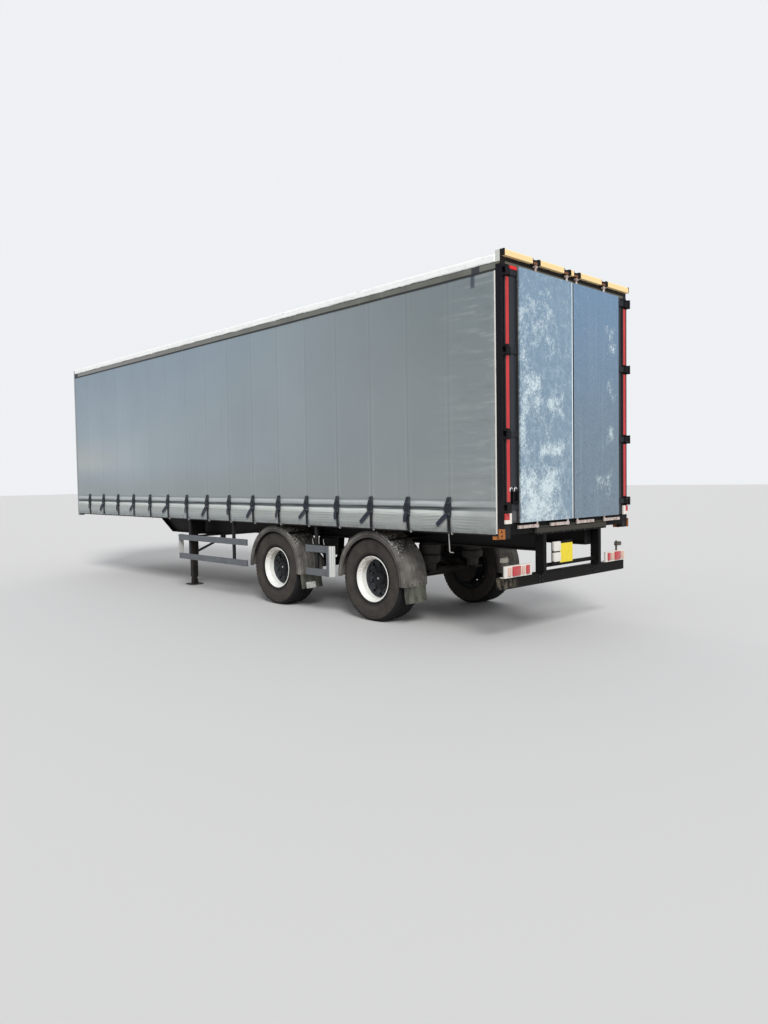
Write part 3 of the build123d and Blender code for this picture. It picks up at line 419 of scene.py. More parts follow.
class Finish:
    # a material in the making: its colour and roughness so far, and its relief

    def __init__(self, name, base, rough=0.5, metal=0.0, **plain):
        self.material = bpy.data.materials.new(name)
        self.material.use_nodes = True
        self.tree = self.material.node_tree
        self.shader = self.tree.nodes["Principled BSDF"]
        self.shader.inputs["Metallic"].default_value = metal
        for key, value in plain.items():
            self.shader.inputs[key.replace("_", " ")].default_value = value
        self.place = put(self.tree, "ShaderNodeTexCoord")["Object"]
        self.x, self.y, self.z = parts(self.place)
        self.base, self.rough = base, rough
        self.height, self.normal = None, None

    def use(self, group, **inputs):
        return put(self.tree, "ShaderNodeGroup", inputs, node_tree=group)

    def patches(self, scale, detail, rough, low, high, first=0.0, second=1.0):
        # a noise cut to first where it is below low and to second where it is above high
        return band(noise(self.place, scale, detail, rough), low, high, first, second)

    def inside(self, low, high, soft):
        return self.use(zone, Low=low, High=high, Soft=soft)["Mask"]

    def layer(self, mask, paint, rough=None, amount=1.0):
        # another colour where the mask is 1
        if amount != 1.0:
            mask = mask * amount
        self.base = blend(mask, self.base, paint)
        if rough is not None:
            self.rough = blend(mask, self.rough, rough, "FLOAT")
        return self

    def relief(self, height, amount=1.0):
        scaled = height * amount
        self.height = scaled if self.height is None else self.height + scaled
        return self

    def grained(self, scale=140.0, broad=2.5, depth=0.25, shade=0.25, rough=0.12):
        # mottled darker and rougher in places, with a fine pitted skin
        out = self.use(grain, Scale=scale, Broad=broad)
        self.base = blend(out["Mottle"] * shade, self.base, (0.0, 0.0, 0.0, 1.0))
        self.rough = out["Mottle"] * rough + self.rough
        return self.relief(out["Height"], depth)

    def dusty(self, paint=tone(122, 113, 101), top=1.3, fade=1.2, amount=0.7, scale=3.0, rough=0.9):
        return self.layer(self.use(dust, Top=top, Fade=fade, Amount=amount, Scale=scale)["Mask"], paint, rough)

    def streaked(self, paint, scale=12.0, stretch=14.0, cut=0.56, amount=0.5, rough=None):
        return self.layer(self.use(runs, Scale=scale, Stretch=stretch, Cut=cut)["Mask"], paint, rough, amount)

    def edged(self, paint=None, width=0.004, ragged=30.0, amount=0.6, rough=0.5):
        # rounded edges, and the paint worn off them
        out = self.use(edges, Width=width, Ragged=ragged)
        self.normal = out["Normal"]
        if paint:
            self.layer(out["Mask"], paint, rough, amount)
        return self

    def done(self, distance=0.0015, strength=0.6):
        if self.height is not None:
            inputs = {"Height": self.height, "Distance": distance, "Strength": strength}
            if self.normal is not None:
                inputs["Normal"] = self.normal
            self.normal = put(self.tree, "ShaderNodeBump", inputs)[0]
        if self.normal is not None:
            self.tree.links.new(self.normal.socket, self.shader.inputs["Normal"])
        for key, value in (("Base Color", self.base), ("Roughness", self.rough)):
            if isinstance(value, Value):
                self.tree.links.new(value.socket, self.shader.inputs[key])
            else:
                self.shader.inputs[key].default_value = value
        return self.material


# Where the straps stand, and where paint changes: boxes are from and to, in metres

strapLook = {"first": ahead(0.786), "pitch": 0.6365, "count": 16, "lowerWidth": 0.046, "tailWidth": 0.050,
             "thickness": 0.0028, "foot": 1.200, "top": 1.40, "tailTop": 1.395, "longTail": (0.84, 0.18),
             "shortTail": (0.24, 0.12), "hookRise": 0.011, "hookLow": 1.184}
# painted light and shade on the skirt's folds, a shaded crease, a lit ridge, the shadow in the fold, a lit belly and
# its
# light fading below: lowest and highest z, softness, colour and amount
skirtLightBands = ((1.548, 1.560, 0.006, tone(104, 108, 110), 0.35), (1.492, 1.535, 0.010, tone(190, 196, 196), 0.75),
              (1.444, 1.474, 0.008, tone(44, 48, 52), 0.9), (1.385, 1.428, 0.012, tone(214, 219, 213), 0.85),
              (1.30, 1.385, 0.06, tone(184, 189, 184), 0.6))
# white patches of the door panels: y and z from and to, softness, share
chalkPatches = ((0.45, 1.00, 1.42, 1.74, 0.30, 1.0), (0.10, 1.20, 1.20, 1.36, 0.16, 0.5),
                (0.22, 0.62, 2.06, 2.14, 0.10, 0.72), (0.50, 0.60, 2.10, 2.34, 0.08, 0.6),
                (0.94, 1.20, 1.90, 3.70, 0.16, 0.55), (0.50, 0.92, 3.30, 3.74, 0.20, 0.5),
                (0.74, 0.95, 2.55, 2.80, 0.22, 0.8), (0.28, 0.45, 2.55, 2.64, 0.16, 0.8),
                (-0.88, -0.80, 3.34, 3.54, 0.12, 0.6), (-0.85, -0.80, 2.75, 2.9, 0.12, 0.45),
                (-0.84, -0.78, 2.22, 2.34, 0.10, 0.6), (-0.75, -0.55, 1.68, 1.76, 0.16, 0.45))
# the rail is dark from x to x
railMarks = ((ahead(0.33), ahead(0.43)), (nodeBox("cant_rails")[1][0] - 0.15, ahead(20)))
cowlFoot = nodeBox("header_cowl")[0][2]
postInner = -nodeBox("rear_sill")[0][1]
wheelCentres = {name: (np.add(*nodeBox(f"rims_{name}_left")) / 2)[[0, 2]] for name in ("rear", "front")}
rust = tone(112, 66, 38)


def blackPaint(name, base, top, amount):
    # satin chassis paint: rust in spots and at the edges, road dust lower down
    made = Finish(name, base, 0.5, Specular_IOR_Level=0.2)
    made.grained(160, 3.0, 0.25, 0.3).streaked(tone(60, 57, 53), 9.0, 9.0, 0.58, 0.25, 0.8)
    made.layer(made.patches(14.0, 8.0, 0.7, 0.64, 0.7), rust, 0.85, 0.6)
    return made.edged(rust, 0.004, 26.0, 0.55, 0.8).dusty(top=top, fade=1.3, amount=amount).done()


def framePaint():
    # black with little gloss: a grey band of painted highlight along the end beam's top, scuffs on the bar's left end
    made = Finish("framePaint", tone(8, 8, 9), 0.55, Specular_IOR_Level=0.15)
    made.grained(160, 3.0, 0.25, 0.3).streaked(tone(44, 42, 40), 9.0, 9.0, 0.6, 0.3, 0.8)
    # painted highlight: the top of the end beam grey, as if lit from above
    lip = made.inside((rearX - 0.3, -0.72, 1.186), (ahead(0.2), 0.72, 1.26), 0.003)
    worn = made.inside((rearX - 0.3, 1.10, 0.4), (ahead(0.4), 1.3, 0.9), 0.12)
    scratches = made.patches((20.0, 20.0, 7.0), 7.0, 0.7, 0.46, 0.56)
    made.layer(lip, tone(68, 65, 58), 0.7, 0.85).layer(worn * scratches, tone(98, 90, 78), 0.8, 0.8)
    return made.edged(tone(84, 74, 64), 0.004, 26.0, 0.4, 0.8).dusty(top=1.1, fade=1.3, amount=0.12).done()


def curtainVinyl():
    # matt coated cloth with painted reflections of sky and ground: paler and bluer to the front, bluer high in the
    # middle, darker high at the rear, paler low down, with a painted sheen low at the front; two pale weld lines at
    # each strap; along the skirt painted light and shade, a lit ridge, a shaded fold and a lit belly, with lines drawn
    # out lengthways; threads sin u sin v in the cloth's own UV
    made = Finish("curtainVinyl", tone(136, 144, 146), 0.52, Specular_IOR_Level=0.35)
    x, z = made.x, made.z
    # painted reflections of sky and ground: paler and bluer to the front, darker high at the rear, bluer high in the
    # middle, a painted sheen low at the front, paler low down
    made.layer(band(x, ahead(0.8), ahead(9.0)), tone(160, 172, 180))
    made.layer(band(z, 2.5, 3.8) * band(x, ahead(3.5), ahead(0.5)), tone(124, 134, 137), None, 0.9)
    made.layer(band(z, 2.6, 3.8) * band(x, ahead(2.5), ahead(6.5)), tone(140, 156, 169), None, 0.85)
    lowFrontSheen = band(z, 1.9, 2.15) * band(z, 2.7, 2.25) * band(x, ahead(8.0), ahead(10.3))
    made.layer(lowFrontSheen, tone(182, 184, 181), None, 0.7)
    made.layer(band(z, 2.1, 1.7), tone(148, 151, 148), None, 0.55)
    phase = (x - strapLook["first"]) / strapLook["pitch"]
    part = phase - calc("ROUND", phase)
    panel = put(made.tree, "ShaderNodeTexWhiteNoise", {"W": calc("FLOOR", phase)}, noise_dimensions="1D")
    made.layer(panel["Value"] * 0.08, tone(110, 118, 122))
    lines = union(band(abs(part - middle), 0.020, 0.006) for middle in (-0.072, 0.052))
    fade = made.patches((2.0, 2.0, 0.7), 3.0, 0.55, 0.35, 0.65, 0.3, 1.0)
    made.layer(lines * fade * band(z, 3.2, 1.8, 0.35, 1.0), tone(172, 178, 176), 0.5, 0.28)
    # a dark line along each seam: a dark joint, partly painted shade in the seam's dent
    seam = band(abs(part), 0.004, 0.012, 1.0, 0.0)
    made.layer(seam, tone(112, 119, 121), 0.6, 0.35).grained(300, 0.8, 0.1, 0.08, 0.08)
    made.streaked(tone(120, 124, 122), 16.0, 26.0, 0.6, 0.16, 0.65)
    level = z + (noise(made.place, (1.6, 0.0, 0.0), 3.0) * 0.02 - 0.01)
    drawn = noise(made.place, (2.2, 8.0, 70.0), 5.0, 0.65)
    uneven = band(drawn, 0.3, 0.6, 0.55, 1.0) * band(x, ahead(0.42), ahead(0.78), 0.35, 1.0)
    wipes = noise(made.place, (2.6, 1.0, 17.0), 4.0, 0.6)
    nearRear = band(x, ahead(1.1), ahead(0.2))
    made.layer(band(wipes, 0.54, 0.66) * nearRear, tone(168, 173, 170), 0.5, 0.35)
    made.layer(band(wipes, 0.44, 0.36) * nearRear, tone(108, 114, 112), 0.5, 0.25)
    # painted light and shade along the skirt's folds: lit ridge and belly, shaded crease and fold
    for low, high, soft, paint, amount in skirtLightBands:
        made.layer(between(level, low, high, soft) * uneven, paint, 0.6, amount)
    skirt = band(z, 1.43, 1.40)
    made.layer(skirt * band(drawn, 0.52, 0.62), tone(126, 130, 127), 0.65, 0.4)
    made.layer(skirt * made.patches(5.0, 6.0, 0.65, 0.42, 0.68), tone(170, 172, 164), 0.7, 0.3)
    made.layer(band(z, 1.27, 1.19) * made.patches(11.0, 6.0, 0.55, 0.4, 0.6), tone(104, 100, 90), 0.85, 0.5)
    # a dark mark under the rail near the rear: the hanging end of a torn strip painted flat, with its painted shadow on
    # the cloth
    tapeAndShadow = made.inside((ahead(0.41), 0.0, 3.83), (ahead(0.44), 1.4, 4.0), 0.025)
    made.layer(tapeAndShadow, tone(52, 60, 74), 0.6, 0.8)
    u, v, _ = parts(put(made.tree, "ShaderNodeUVMap", uv_map="cloth")[0])
    return made.relief(sine(u * 2200.0) * sine(v * 2200.0), 0.12).relief(seam, -0.5).done(0.0012, 0.5)


def roofSheeting():
    # thin sheet gone chalky, whiter on its side hems as painted highlight, with grey creases of painted shade and dark
    # flecks
    made = Finish("roofSheeting", tone(224, 225, 224), 0.5, Specular_IOR_Level=0.4)
    # painted highlight: the side hems whiter than the crown
    made.layer(band(abs(made.y), 1.20, 1.25), tone(250, 250, 248)).grained(90, 1.5, 0.3, 0.08, 0.15)
    # painted shade: grey in the creases
    made.layer(made.patches((7.0, 20.0, 30.0), 8.0, 0.7, 0.58, 0.7), tone(150, 154, 158), 0.6, 0.6)
    made.layer(made.patches(38.0, 4.0, 0.7, 0.66, 0.72), tone(70, 70, 66), 0.8, 0.8)
    return made.done(0.002, 0.6)


def webbing(name, base):
    # black-navy straps: ribs across the width and a dusty bloom
    made = Finish(name, base, 0.75, Sheen_Weight=0.1, Specular_IOR_Level=0.2)
    made.layer(made.patches(26.0, 5.0, 0.6, 0.46, 0.7), tone(72, 76, 88), 0.85, 0.3)
    ribs = put(made.tree, "ShaderNodeTexWave", {"Vector": made.place, "Scale": 160.0}, bands_direction="Z")
    return made.relief(ribs["Fac"], 0.5).dusty(amount=0.15).done()


def buckleSteel():
    # blackened pressed steel, blue-grey where it is handled; pale edges, worn bare and painted as highlights
    made = Finish("buckleSteel", tone(26, 32, 40), 0.45, 0.15, Specular_IOR_Level=0.4).grained(200, 18, 0.2, 0.2)
    made.layer(made.patches(40.0, 5.0, 0.65, 0.5, 0.68), tone(62, 72, 86), 0.5, 0.5)
    # pale edges: edge wear that also stands for painted highlights
    return made.edged(tone(126, 132, 138), 0.003, 60.0, 0.8, 0.35).dusty(amount=0.15).done()


def galvanisedSheet():
    # blue-grey crystals with a painted reflection of the sky, bluer to the top; the left door paler and clouded, with
    # speckled white patches where chalkPatches says; the right door plainer, with faint wipe marks
    made = Finish("galvanisedSheet", tone(112, 129, 143), 0.42, 0.3)
    left = band(made.y, -0.01, 0.01)
    # painted reflection of the sky: bluer towards the top
    made.layer(band(made.z, 2.1, 3.9), tone(108, 144, 180), None, 0.8).layer(left, tone(132, 158, 178), None, 0.7)
    crystals = made.use(spangle, Scale=70.0)
    made.layer(crystals["Crystal"], tone(158, 178, 194), 0.34, 0.3)
    made.streaked(tone(148, 166, 180), 26.0, 34.0, 0.52, 0.3)
    made.layer(made.patches(11.0, 9.0, 0.75, 0.46, 0.62) * left, tone(168, 190, 204), 0.6, 0.4)
    vein = band(abs(noise(made.place, (1.0, 5.0, 3.2), 5.0) - 0.5), 0.014, 0.003)
    made.layer(vein * left, tone(206, 222, 230), 0.7, 0.35)
    spread = union(made.inside((-20.0, yLow, zLow), (20.0, yHigh, zHigh), soft) * share
                   for yLow, yHigh, zLow, zHigh, soft, share in chalkPatches)
    broad, fine = made.patches(5.5, 8.0, 0.7, 0.40, 0.60), made.patches(34.0, 6.0, 0.74, 0.42, 0.58)
    chalk = band(spread * 0.56 + (broad * 0.34 + fine * 0.30), 0.56, 0.98)
    made.layer(chalk, tone(220, 233, 235), 0.85, 0.9)
    shade = made.patches(6.2, 8.0, 0.7, 0.56, 0.66) * band(made.z, 2.3, 1.6)
    made.layer(shade, tone(96, 110, 120), 0.7, 0.5).relief(union([chalk, crystals["Height"]]), 0.4)
    made.edged(tone(200, 206, 208), 0.003, 60.0, 0.5, 0.4)
    return made.dusty(top=1.7, fade=0.5, amount=0.2, rough=0.85).done(0.001, 0.45)


def zincRods():
    # zinc plate with brown bloom
    made = Finish("zincRods", tone(216, 204, 198), 0.42, 0.4)
    made.layer(made.patches(22.0, 6.0, 0.7, 0.45, 0.58), tone(146, 98, 78), 0.75, 0.6)
    return made.grained(220, 20, 0.2, 0.15).edged(None, 0.002).done()


def postPaint():
    # black corner posts with little gloss, rusted at the edges
    made = Finish("postPaint", tone(14, 14, 20), 0.5, Specular_IOR_Level=0.2)
    made.grained(160, 5.0, 0.2, 0.2).streaked(tone(44, 43, 48), 16.0, 20.0, 0.58, 0.4, 0.7)
    made.layer(band(abs(made.y), postInner, postInner - 0.004), tone(40, 43, 48), 0.5)
    return made.edged(tone(104, 78, 62), 0.004, 26.0, 0.5, 0.8).dusty(top=1.6, fade=0.6, amount=0.25).done()


def doorPaint():
    # dark blue-black paint, streaked grey, with a paler hold-back block
    made = Finish("doorPaint", tone(38, 42, 48), 0.42)
    made.grained(180, 2.0, 0.15, 0.2).streaked(tone(78, 84, 90), 20.0, 26.0, 0.55, 0.4, 0.6)
    made.edged(tone(112, 96, 82), 0.004, 30.0, 0.5, 0.7)
    block = made.inside((rearX - 0.3, 1.05, 1.34), (rearX + 0.3, 1.2, 1.495), 0.006)
    return made.layer(block, tone(84, 88, 92), 0.6, 0.7).dusty(top=1.8, fade=0.7, amount=0.35).done()


def redGuard():
    # faded red strip, chipped, with painted shadow nearly black along its outer edges
    made = Finish("redGuard", tone(206, 50, 52), 0.45)
    off = abs(abs(made.y) - (nodeBox("post_strips")[1][1] - 0.041))
    made.grained(160, 5.0, 0.15, 0.22).streaked(tone(208, 92, 90), 30.0, 30.0, 0.58, 0.35, 0.6)
    made.layer(made.patches(44.0, 6.0, 0.75, 0.66, 0.7), tone(58, 40, 38), 0.8, 0.8)
    made.edged(tone(140, 60, 56), 0.003, 40.0, 0.5).dusty(top=1.9, fade=0.6, amount=0.35)
    # painted shadow: nearly black along the strip's outer edges
    return made.layer(band(off, 0.0255, 0.0285), tone(26, 20, 24), 0.6).done()


def creamCowl():
    # cream paint, nearly white along its upper edge, dark in the keepers' notches
    made = Finish("creamCowl", tone(254, 220, 160), 0.5)
    made.layer(band(made.z, cowlFoot + 0.062, cowlFoot + 0.074), tone(255, 246, 228)).grained(150, 4.0, 0.15, 0.05)
    for middle in (0.1, 0.7):
        made.layer(band(abs(abs(made.y) - middle), 0.0745, 0.0725), tone(20, 18, 18), 0.6)
    made.streaked(tone(196, 166, 120), 18.0, 8.0, 0.62, 0.35, 0.7)
    return made.edged(tone(160, 126, 86), 0.003, 30.0, 0.35).done()


def railPaint():
    # weathered olive-grey rail with pale runs under the roof's edge, lighter to the front, navy at its front end, a
    # painted shadow nearly black along its foot
    made = Finish("railPaint", tone(116, 117, 109), 0.55, 0.1).grained(140, 3.0, 0.2, 0.3)
    made.layer(band(made.x, ahead(2.0), ahead(9.0)), tone(138, 138, 136), None, 0.9)
    foot = nodeBox("cant_rails")[0][2]
    # painted shadow: the rail's foot nearly black, over the gap above the curtain
    made.layer(band(made.z, foot + 0.024, foot + 0.018), tone(26, 26, 28), 0.7, 0.9)
    made.streaked(tone(150, 150, 142), 14.0, 5.0, 0.6, 0.45, 0.75)
    for low, high in railMarks:
        made.layer(made.inside((low, -1.4, 3.9), (high, 1.4, 4.3), 0.01), tone(34, 38, 48), 0.6, 0.85)
    return made.edged(tone(140, 138, 128), 0.003, 24.0, 0.5).done()


def headerPaint():
    # black beam, an olive strip under the cowl's black foot, brown keepers low in its notches, white cap fronts
    made = Finish("headerPaint", tone(18, 17, 17), 0.5, Specular_IOR_Level=0.25).grained(160, 6.0, 0.2, 0.2)
    strip = made.inside((rearX - 0.1, -1.2, cowlFoot - 0.079), (rearX + 0.2, 1.2, cowlFoot - 0.044), 0.002)
    keepers = made.inside((rearX - 0.1, -0.8, cowlFoot + 0.001), (rearX + 0.044, 0.8, cowlFoot + 0.028), 0.001)
    made.layer(strip, tone(104, 100, 88), 0.6).layer(keepers, tone(122, 82, 58), 0.8)
    for near, far in ((1.21, 1.4), (-1.4, -1.21)):
        upper = made.inside((ahead(0.058), near, cowlFoot - 0.048), (ahead(0.3), far, 4.4), 0.003)
        lower = made.inside((ahead(0.058), near, 3.8), (ahead(0.3), far, cowlFoot - 0.052), 0.003)
        made.layer(upper, tone(214, 214, 208), 0.5, 0.9).layer(lower, tone(104, 102, 90), 0.6, 0.9)
    return made.edged(tone(110, 96, 82), 0.003, 30.0, 0.4).done()


def tyreRubber(name, centre):
    # brown-grey dust on the walls; blacker round the rim, and on the tread, with less dust and painted shade
    made = Finish(name, tone(26, 26, 27), 0.82, Specular_IOR_Level=0.2)
    at = made.use(ring, Centre=centre, Radius=0.508, Soft=0.014)
    wall = at["Mask"] * band(at["Distance"], 0.30, 0.36)
    cloud = made.patches(7.0, 8.0, 0.65, 0.25, 0.75, 0.4, 1.0)
    made.layer(wall * cloud, tone(86, 80, 74), 0.92, 0.85)
    # the tread gets less dust, and its black stands in part for painted shade
    made.layer((1.0 - at["Mask"]) * cloud, tone(48, 46, 44), 0.9, 0.45).grained(260, 12.0, 0.3, 0.15)
    return made.relief(sine(at["Distance"] * 700.0) * wall, 0.12).done(0.001, 0.5)


def wheelEnamel(name, centre):
    # white barrel and lip, with brown blotches of painted shade at the upper front; the disc and inboard side painted
    # blue-black as shade, with dusty patches; black beyond the lip
    made = Finish(name, tone(240, 240, 234), 0.36)
    stain = made.patches(16.0, 7.0, 0.7, 0.5, 0.74)
    made.layer(stain, tone(176, 168, 154), 0.75, 0.35)
    made.layer(made.patches(110.0, 2.0, 0.6, 0.68, 0.73), tone(96, 80, 62), 0.8, 0.6)
    at = made.use(ring, Centre=centre)
    # painted shade: brown blotches on the barrel's upper front
    upper = band(at["Angle"], 0.1, 0.6) * band(at["Angle"], 1.9, 1.3)
    made.layer(upper * made.patches(30.0, 6.0, 0.7, 0.4, 0.6), tone(150, 122, 96), 0.8, 0.7)
    wobble = noise(made.place, 9.0, 3.0) * 0.02
    # painted shade: the disc, and all inboard of its face, blue-black
    shadedDisc = union([band(at["Distance"] + wobble, 0.256, 0.252), band(abs(made.y) + wobble, 1.002, 0.998)])
    made.layer(shadedDisc, tone(24, 28, 32), 0.7)
    made.layer(shadedDisc * made.patches(20.0, 7.0, 0.7, 0.45, 0.7), tone(72, 80, 90), 0.85, 0.5)
    made.layer(band(at["Distance"], 0.2932, 0.2942), tone(34, 33, 32), 0.8)
    return made.relief(stain, 0.2).edged(None, 0.002).done()


def hubIron(name, centre):
    # greasy black casting with a small bright centre
    made = Finish(name, tone(18, 21, 26), 0.5, 0.1, Specular_IOR_Level=0.25).grained(120, 22.0, 0.4, 0.3)
    made.layer(made.patches(24.0, 7.0, 0.7, 0.5, 0.7), tone(60, 62, 66), 0.85, 0.4)
    bright = made.use(ring, Centre=centre, Radius=0.014, Soft=0.003)["Mask"]
    return made.layer(bright, tone(190, 190, 188), 0.35).edged(tone(92, 94, 96), 0.002, 60.0, 0.35).done()


def guardPlastic():
    # grey-brown dusty plastic, pale ribs as painted highlights, moss and white flecks on the rear tops
    made = Finish("guardPlastic", tone(74, 71, 67), 0.75).grained(180, 6.0, 0.35, 0.3)
    cloud = made.patches(4.0, 8.0, 0.65, 0.35, 0.7)
    made.layer(cloud, tone(110, 105, 99), 0.9, 0.7).streaked(tone(122, 119, 113), 18.0, 10.0, 0.56, 0.35, 0.9)
    height = parts(put(made.tree, "ShaderNodeUVMap", uv_map="cloth")[0])[1]
    # painted highlights: the two ridges along each edge paler, in dusty clouds
    for low, high in ((-0.048, -0.024), (-0.012, -0.001)):
        made.layer(between(height, low, high, 0.003) * cloud, tone(150, 146, 138), 0.8, 0.7)
    top = band(made.z, 0.86, 1.02)
    made.layer(top * made.patches(17.0, 8.0, 0.75, 0.55, 0.64), tone(70, 72, 52), 0.95, 0.8)
    made.layer(top * made.patches(55.0, 5.0, 0.75, 0.66, 0.70), tone(205, 202, 190), 0.9, 0.9)
    return made.done(0.002, 0.6)


def flapRubber():
    # rubber sheet under grey-green road film, paler in upright stripes and low down; a speckled pale patch of painted
    # highlight where the front flap bends
    made = Finish("flapRubber", tone(52, 52, 49), 0.8, Specular_IOR_Level=0.25).grained(150, 8.0, 0.4, 0.2)
    made.streaked(tone(112, 114, 103), 9.0, 14.0, 0.46, 0.6, 0.9).dusty(tone(118, 121, 108), 0.62, 0.34, 0.9, 9.0)
    front = wheelCentres["front"][0]
    # painted highlight: a speckled pale patch where the left front flap bends
    bendHighlight = made.inside((front - 0.75, 0.90, 0.272), (front - 0.55, 1.06, 0.362), 0.006)
    made.layer(bendHighlight * made.patches(60.0, 5.0, 0.7, 0.36, 0.44), tone(226, 226, 220), 0.8)
    return made.done(0.002, 0.6)


def guardAlloy():
    # dull anodised rails on black posts, with bright polished end plates, the mid guard's ridged
    made = Finish("guardAlloy", tone(112, 117, 122), 0.45, 0.35).grained(200, 5.0, 0.12, 0.15)
    made.layer(made.patches((3.0, 60.0, 260.0), 4.0, 0.6, 0.45, 0.6), tone(86, 88, 90), 0.6, 0.35)
    made.layer(band(abs(made.y), 1.2378, 1.2372), tone(24, 24, 26), 0.6)
    front, mid = (made.inside((ahead(low), -1.4, 0.4), (ahead(high), 1.4, 1.0), 0.002)
                  for low, high in ((6.845, 6.87), (2.7, 2.905)))
    ridges = sine(made.x * 380.0)
    made.layer(union([front, mid]), tone(222, 222, 218), 0.35).relief(ridges * mid, 1.2)
    made.layer(band(ridges, 0.2, 0.8) * mid, tone(150, 154, 156), 0.4, 0.6)
    made.dusty(tone(112, 106, 98), 1.0, 1.0, 0.35, 5.0)
    return made.edged(tone(180, 180, 178), 0.002, 40.0, 0.35, 0.35).done()


def deckBoard():
    # phenolic board: brown, with long grain and scuffs
    made = Finish("deckBoard", tone(106, 76, 52), 0.55)
    made.layer(made.patches((1.5, 40.0, 40.0), 6.0, 0.6, 0.4, 0.62), tone(72, 50, 34), 0.65, 0.6)
    return made.grained(90, 4.0, 0.3, 0.2).edged(None).done()


def panelGrey():
    made = Finish("panelGrey", tone(168, 171, 172), 0.45, 0.1).grained(160, 1.6, 0.15, 0.12)
    made.streaked(tone(126, 126, 122), 12.0, 24.0, 0.58, 0.35, 0.6)
    return made.edged(tone(120, 96, 78), 0.003, 30.0, 0.4).done()


def rustedPlate():
    # orange-brown scale over the last of the paint
    made = Finish("rustedPlate", tone(190, 118, 58), 0.8).grained(120, 14.0, 0.8, 0.35)
    made.layer(made.patches(30.0, 6.0, 0.7, 0.58, 0.62), tone(70, 40, 32), 0.6, 0.55)
    return made.edged(tone(186, 128, 76), 0.003, 50.0, 0.6).done(0.002, 0.9)


def whiteBoard():
    made = Finish("whiteBoard", tone(226, 222, 214), 0.35).grained(200, 12.0, 0.1, 0.05)
    made.streaked(tone(150, 136, 116), 24.0, 8.0, 0.6, 0.5, 0.7)
    return made.dusty(tone(150, 138, 118), 1.2, 0.9, 0.35, 9.0).edged(None, 0.002).done()


def lensGlass(name, base):
    # moulded lens: fine upright flutes with cross lines, and dust
    made = Finish(name, base, 0.2, Coat_Weight=0.6, Coat_Roughness=0.08)
    flutes, lines = sine(made.y * 900.0), sine(made.z * 900.0)
    made.relief(flutes, 0.25).relief(lines, 0.25)
    made.layer(band(flutes * lines, -1.0, 1.0), (0.02, 0.0, 0.0, 1.0), None, 0.25)
    return made.dusty(tone(170, 150, 134), 1.3, 0.9, 0.35, 14.0, 0.6).done(0.001, 0.4)


def markerPaint():
    # two-colour outline markers: a red block with an L of white outside and below; grey stalk lamps
    made = Finish("markerPaint", tone(232, 226, 216), 0.35)
    near, far = postInner + 0.042, postInner + 0.12
    red = union(made.inside((rearX - 0.1, low, 1.352), (rearX + 0.2, high, 1.45), 0.002)
                for low, high in ((near, far), (-far, -near)))
    stalks = made.inside((rearX - 0.1, -1.3, 0.8), (rearX + 0.3, 1.3, 1.08), 0.004)
    head = made.inside((rearX - 0.1, 1.21, 0.90), (rearX + 0.3, 1.3, 0.955), 0.004)
    made.layer(red, tone(190, 46, 48), 0.3).layer(stalks, tone(44, 44, 44), 0.7)
    made.layer(head, tone(128, 126, 120), 0.6)
    return made.dusty(tone(160, 146, 126), 1.6, 0.7, 0.4, 16.0).edged(None, 0.002).done()


def plateYellow():
    made = Finish("plateYellow", tone(240, 216, 40), 0.38).grained(240, 20.0, 0.1, 0.06)
    return made.dusty(tone(150, 132, 70), 1.15, 0.5, 0.35, 18.0).edged(None, 0.001).done()


def couplingSteel():
    made = Finish("couplingSteel", tone(108, 104, 98), 0.4, 0.8).grained(140, 7.0, 0.3, 0.35)
    greased = made.patches(6.0, 6.0, 0.65, 0.45, 0.6)
    return made.layer(greased, tone(34, 29, 24), 0.25, 0.8).edged(None).done()


def bagRubber():
    made = Finish("bagRubber", tone(32, 32, 33), 0.7)
    return made.grained(140, 10.0, 0.4, 0.25).dusty(top=1.2, fade=0.8, amount=0.6).done()


def stainedSteel(name, base):
    made = Finish(name, base, 0.32, 0.7)
    made.layer(made.patches(60.0, 5.0, 0.7, 0.56, 0.66), tone(130, 100, 76), 0.7, 0.5)
    return made.grained(300, 30.0, 0.2, 0.1).done()


def fittingsPaint():
    # black hold-back block low down, red lens at the top
    made = Finish("fittingsPaint", tone(8, 8, 10), 0.5, Specular_IOR_Level=0.15).grained(160, 9.0, 0.2, 0.2)
    lens = made.inside((rearX - 0.1, 0.9, 3.9), (rearX + 0.2, 1.3, 4.05), 0.004)
    return made.layer(lens, tone(236, 46, 50), 0.25).edged(None, 0.003).done()


chassisBlack = blackPaint("chassisBlack", tone(24, 24, 26), 1.35, 0.3)
bogieBlack = blackPaint("bogieBlack", tone(32, 31, 31), 1.2, 0.45)
frameBlack, postBlack, doorBlack = framePaint(), postPaint(), doorPaint()
vinyl, sheeting, buckles = curtainVinyl(), roofSheeting(), buckleSteel()
straps, tailCloth = webbing("webbing", tone(14, 16, 20)), webbing("tailWebbing", tone(44, 46, 60))
galvanised, rail, alloy, grey = galvanisedSheet(), railPaint(), guardAlloy(), panelGrey()
plastic, rubber, white, steel, bags = guardPlastic(), flapRubber(), whiteBoard(), couplingSteel(), bagRubber()
bright, blackSteel = stainedSteel("brightSteel", tone(205, 205, 202)), stainedSteel("blackSteel", tone(60, 60, 62))
redLens, paleLens = lensGlass("redLens", tone(196, 30, 44)), lensGlass("paleLens", tone(226, 186, 168))
rubbers, enamels, irons = ({name: make(f"{make.__name__}_{name}", (x, 0, z)) for name, (x, z) in wheelCentres.items()}
                           for make in (tyreRubber, wheelEnamel, hubIron))
litter = Finish("leafLitter", tone(206, 204, 196), 0.9)
litter = litter.layer(litter.patches(30.0, 4.0, 0.55, 0.52, 0.60), tone(96, 92, 74), 0.95).done()
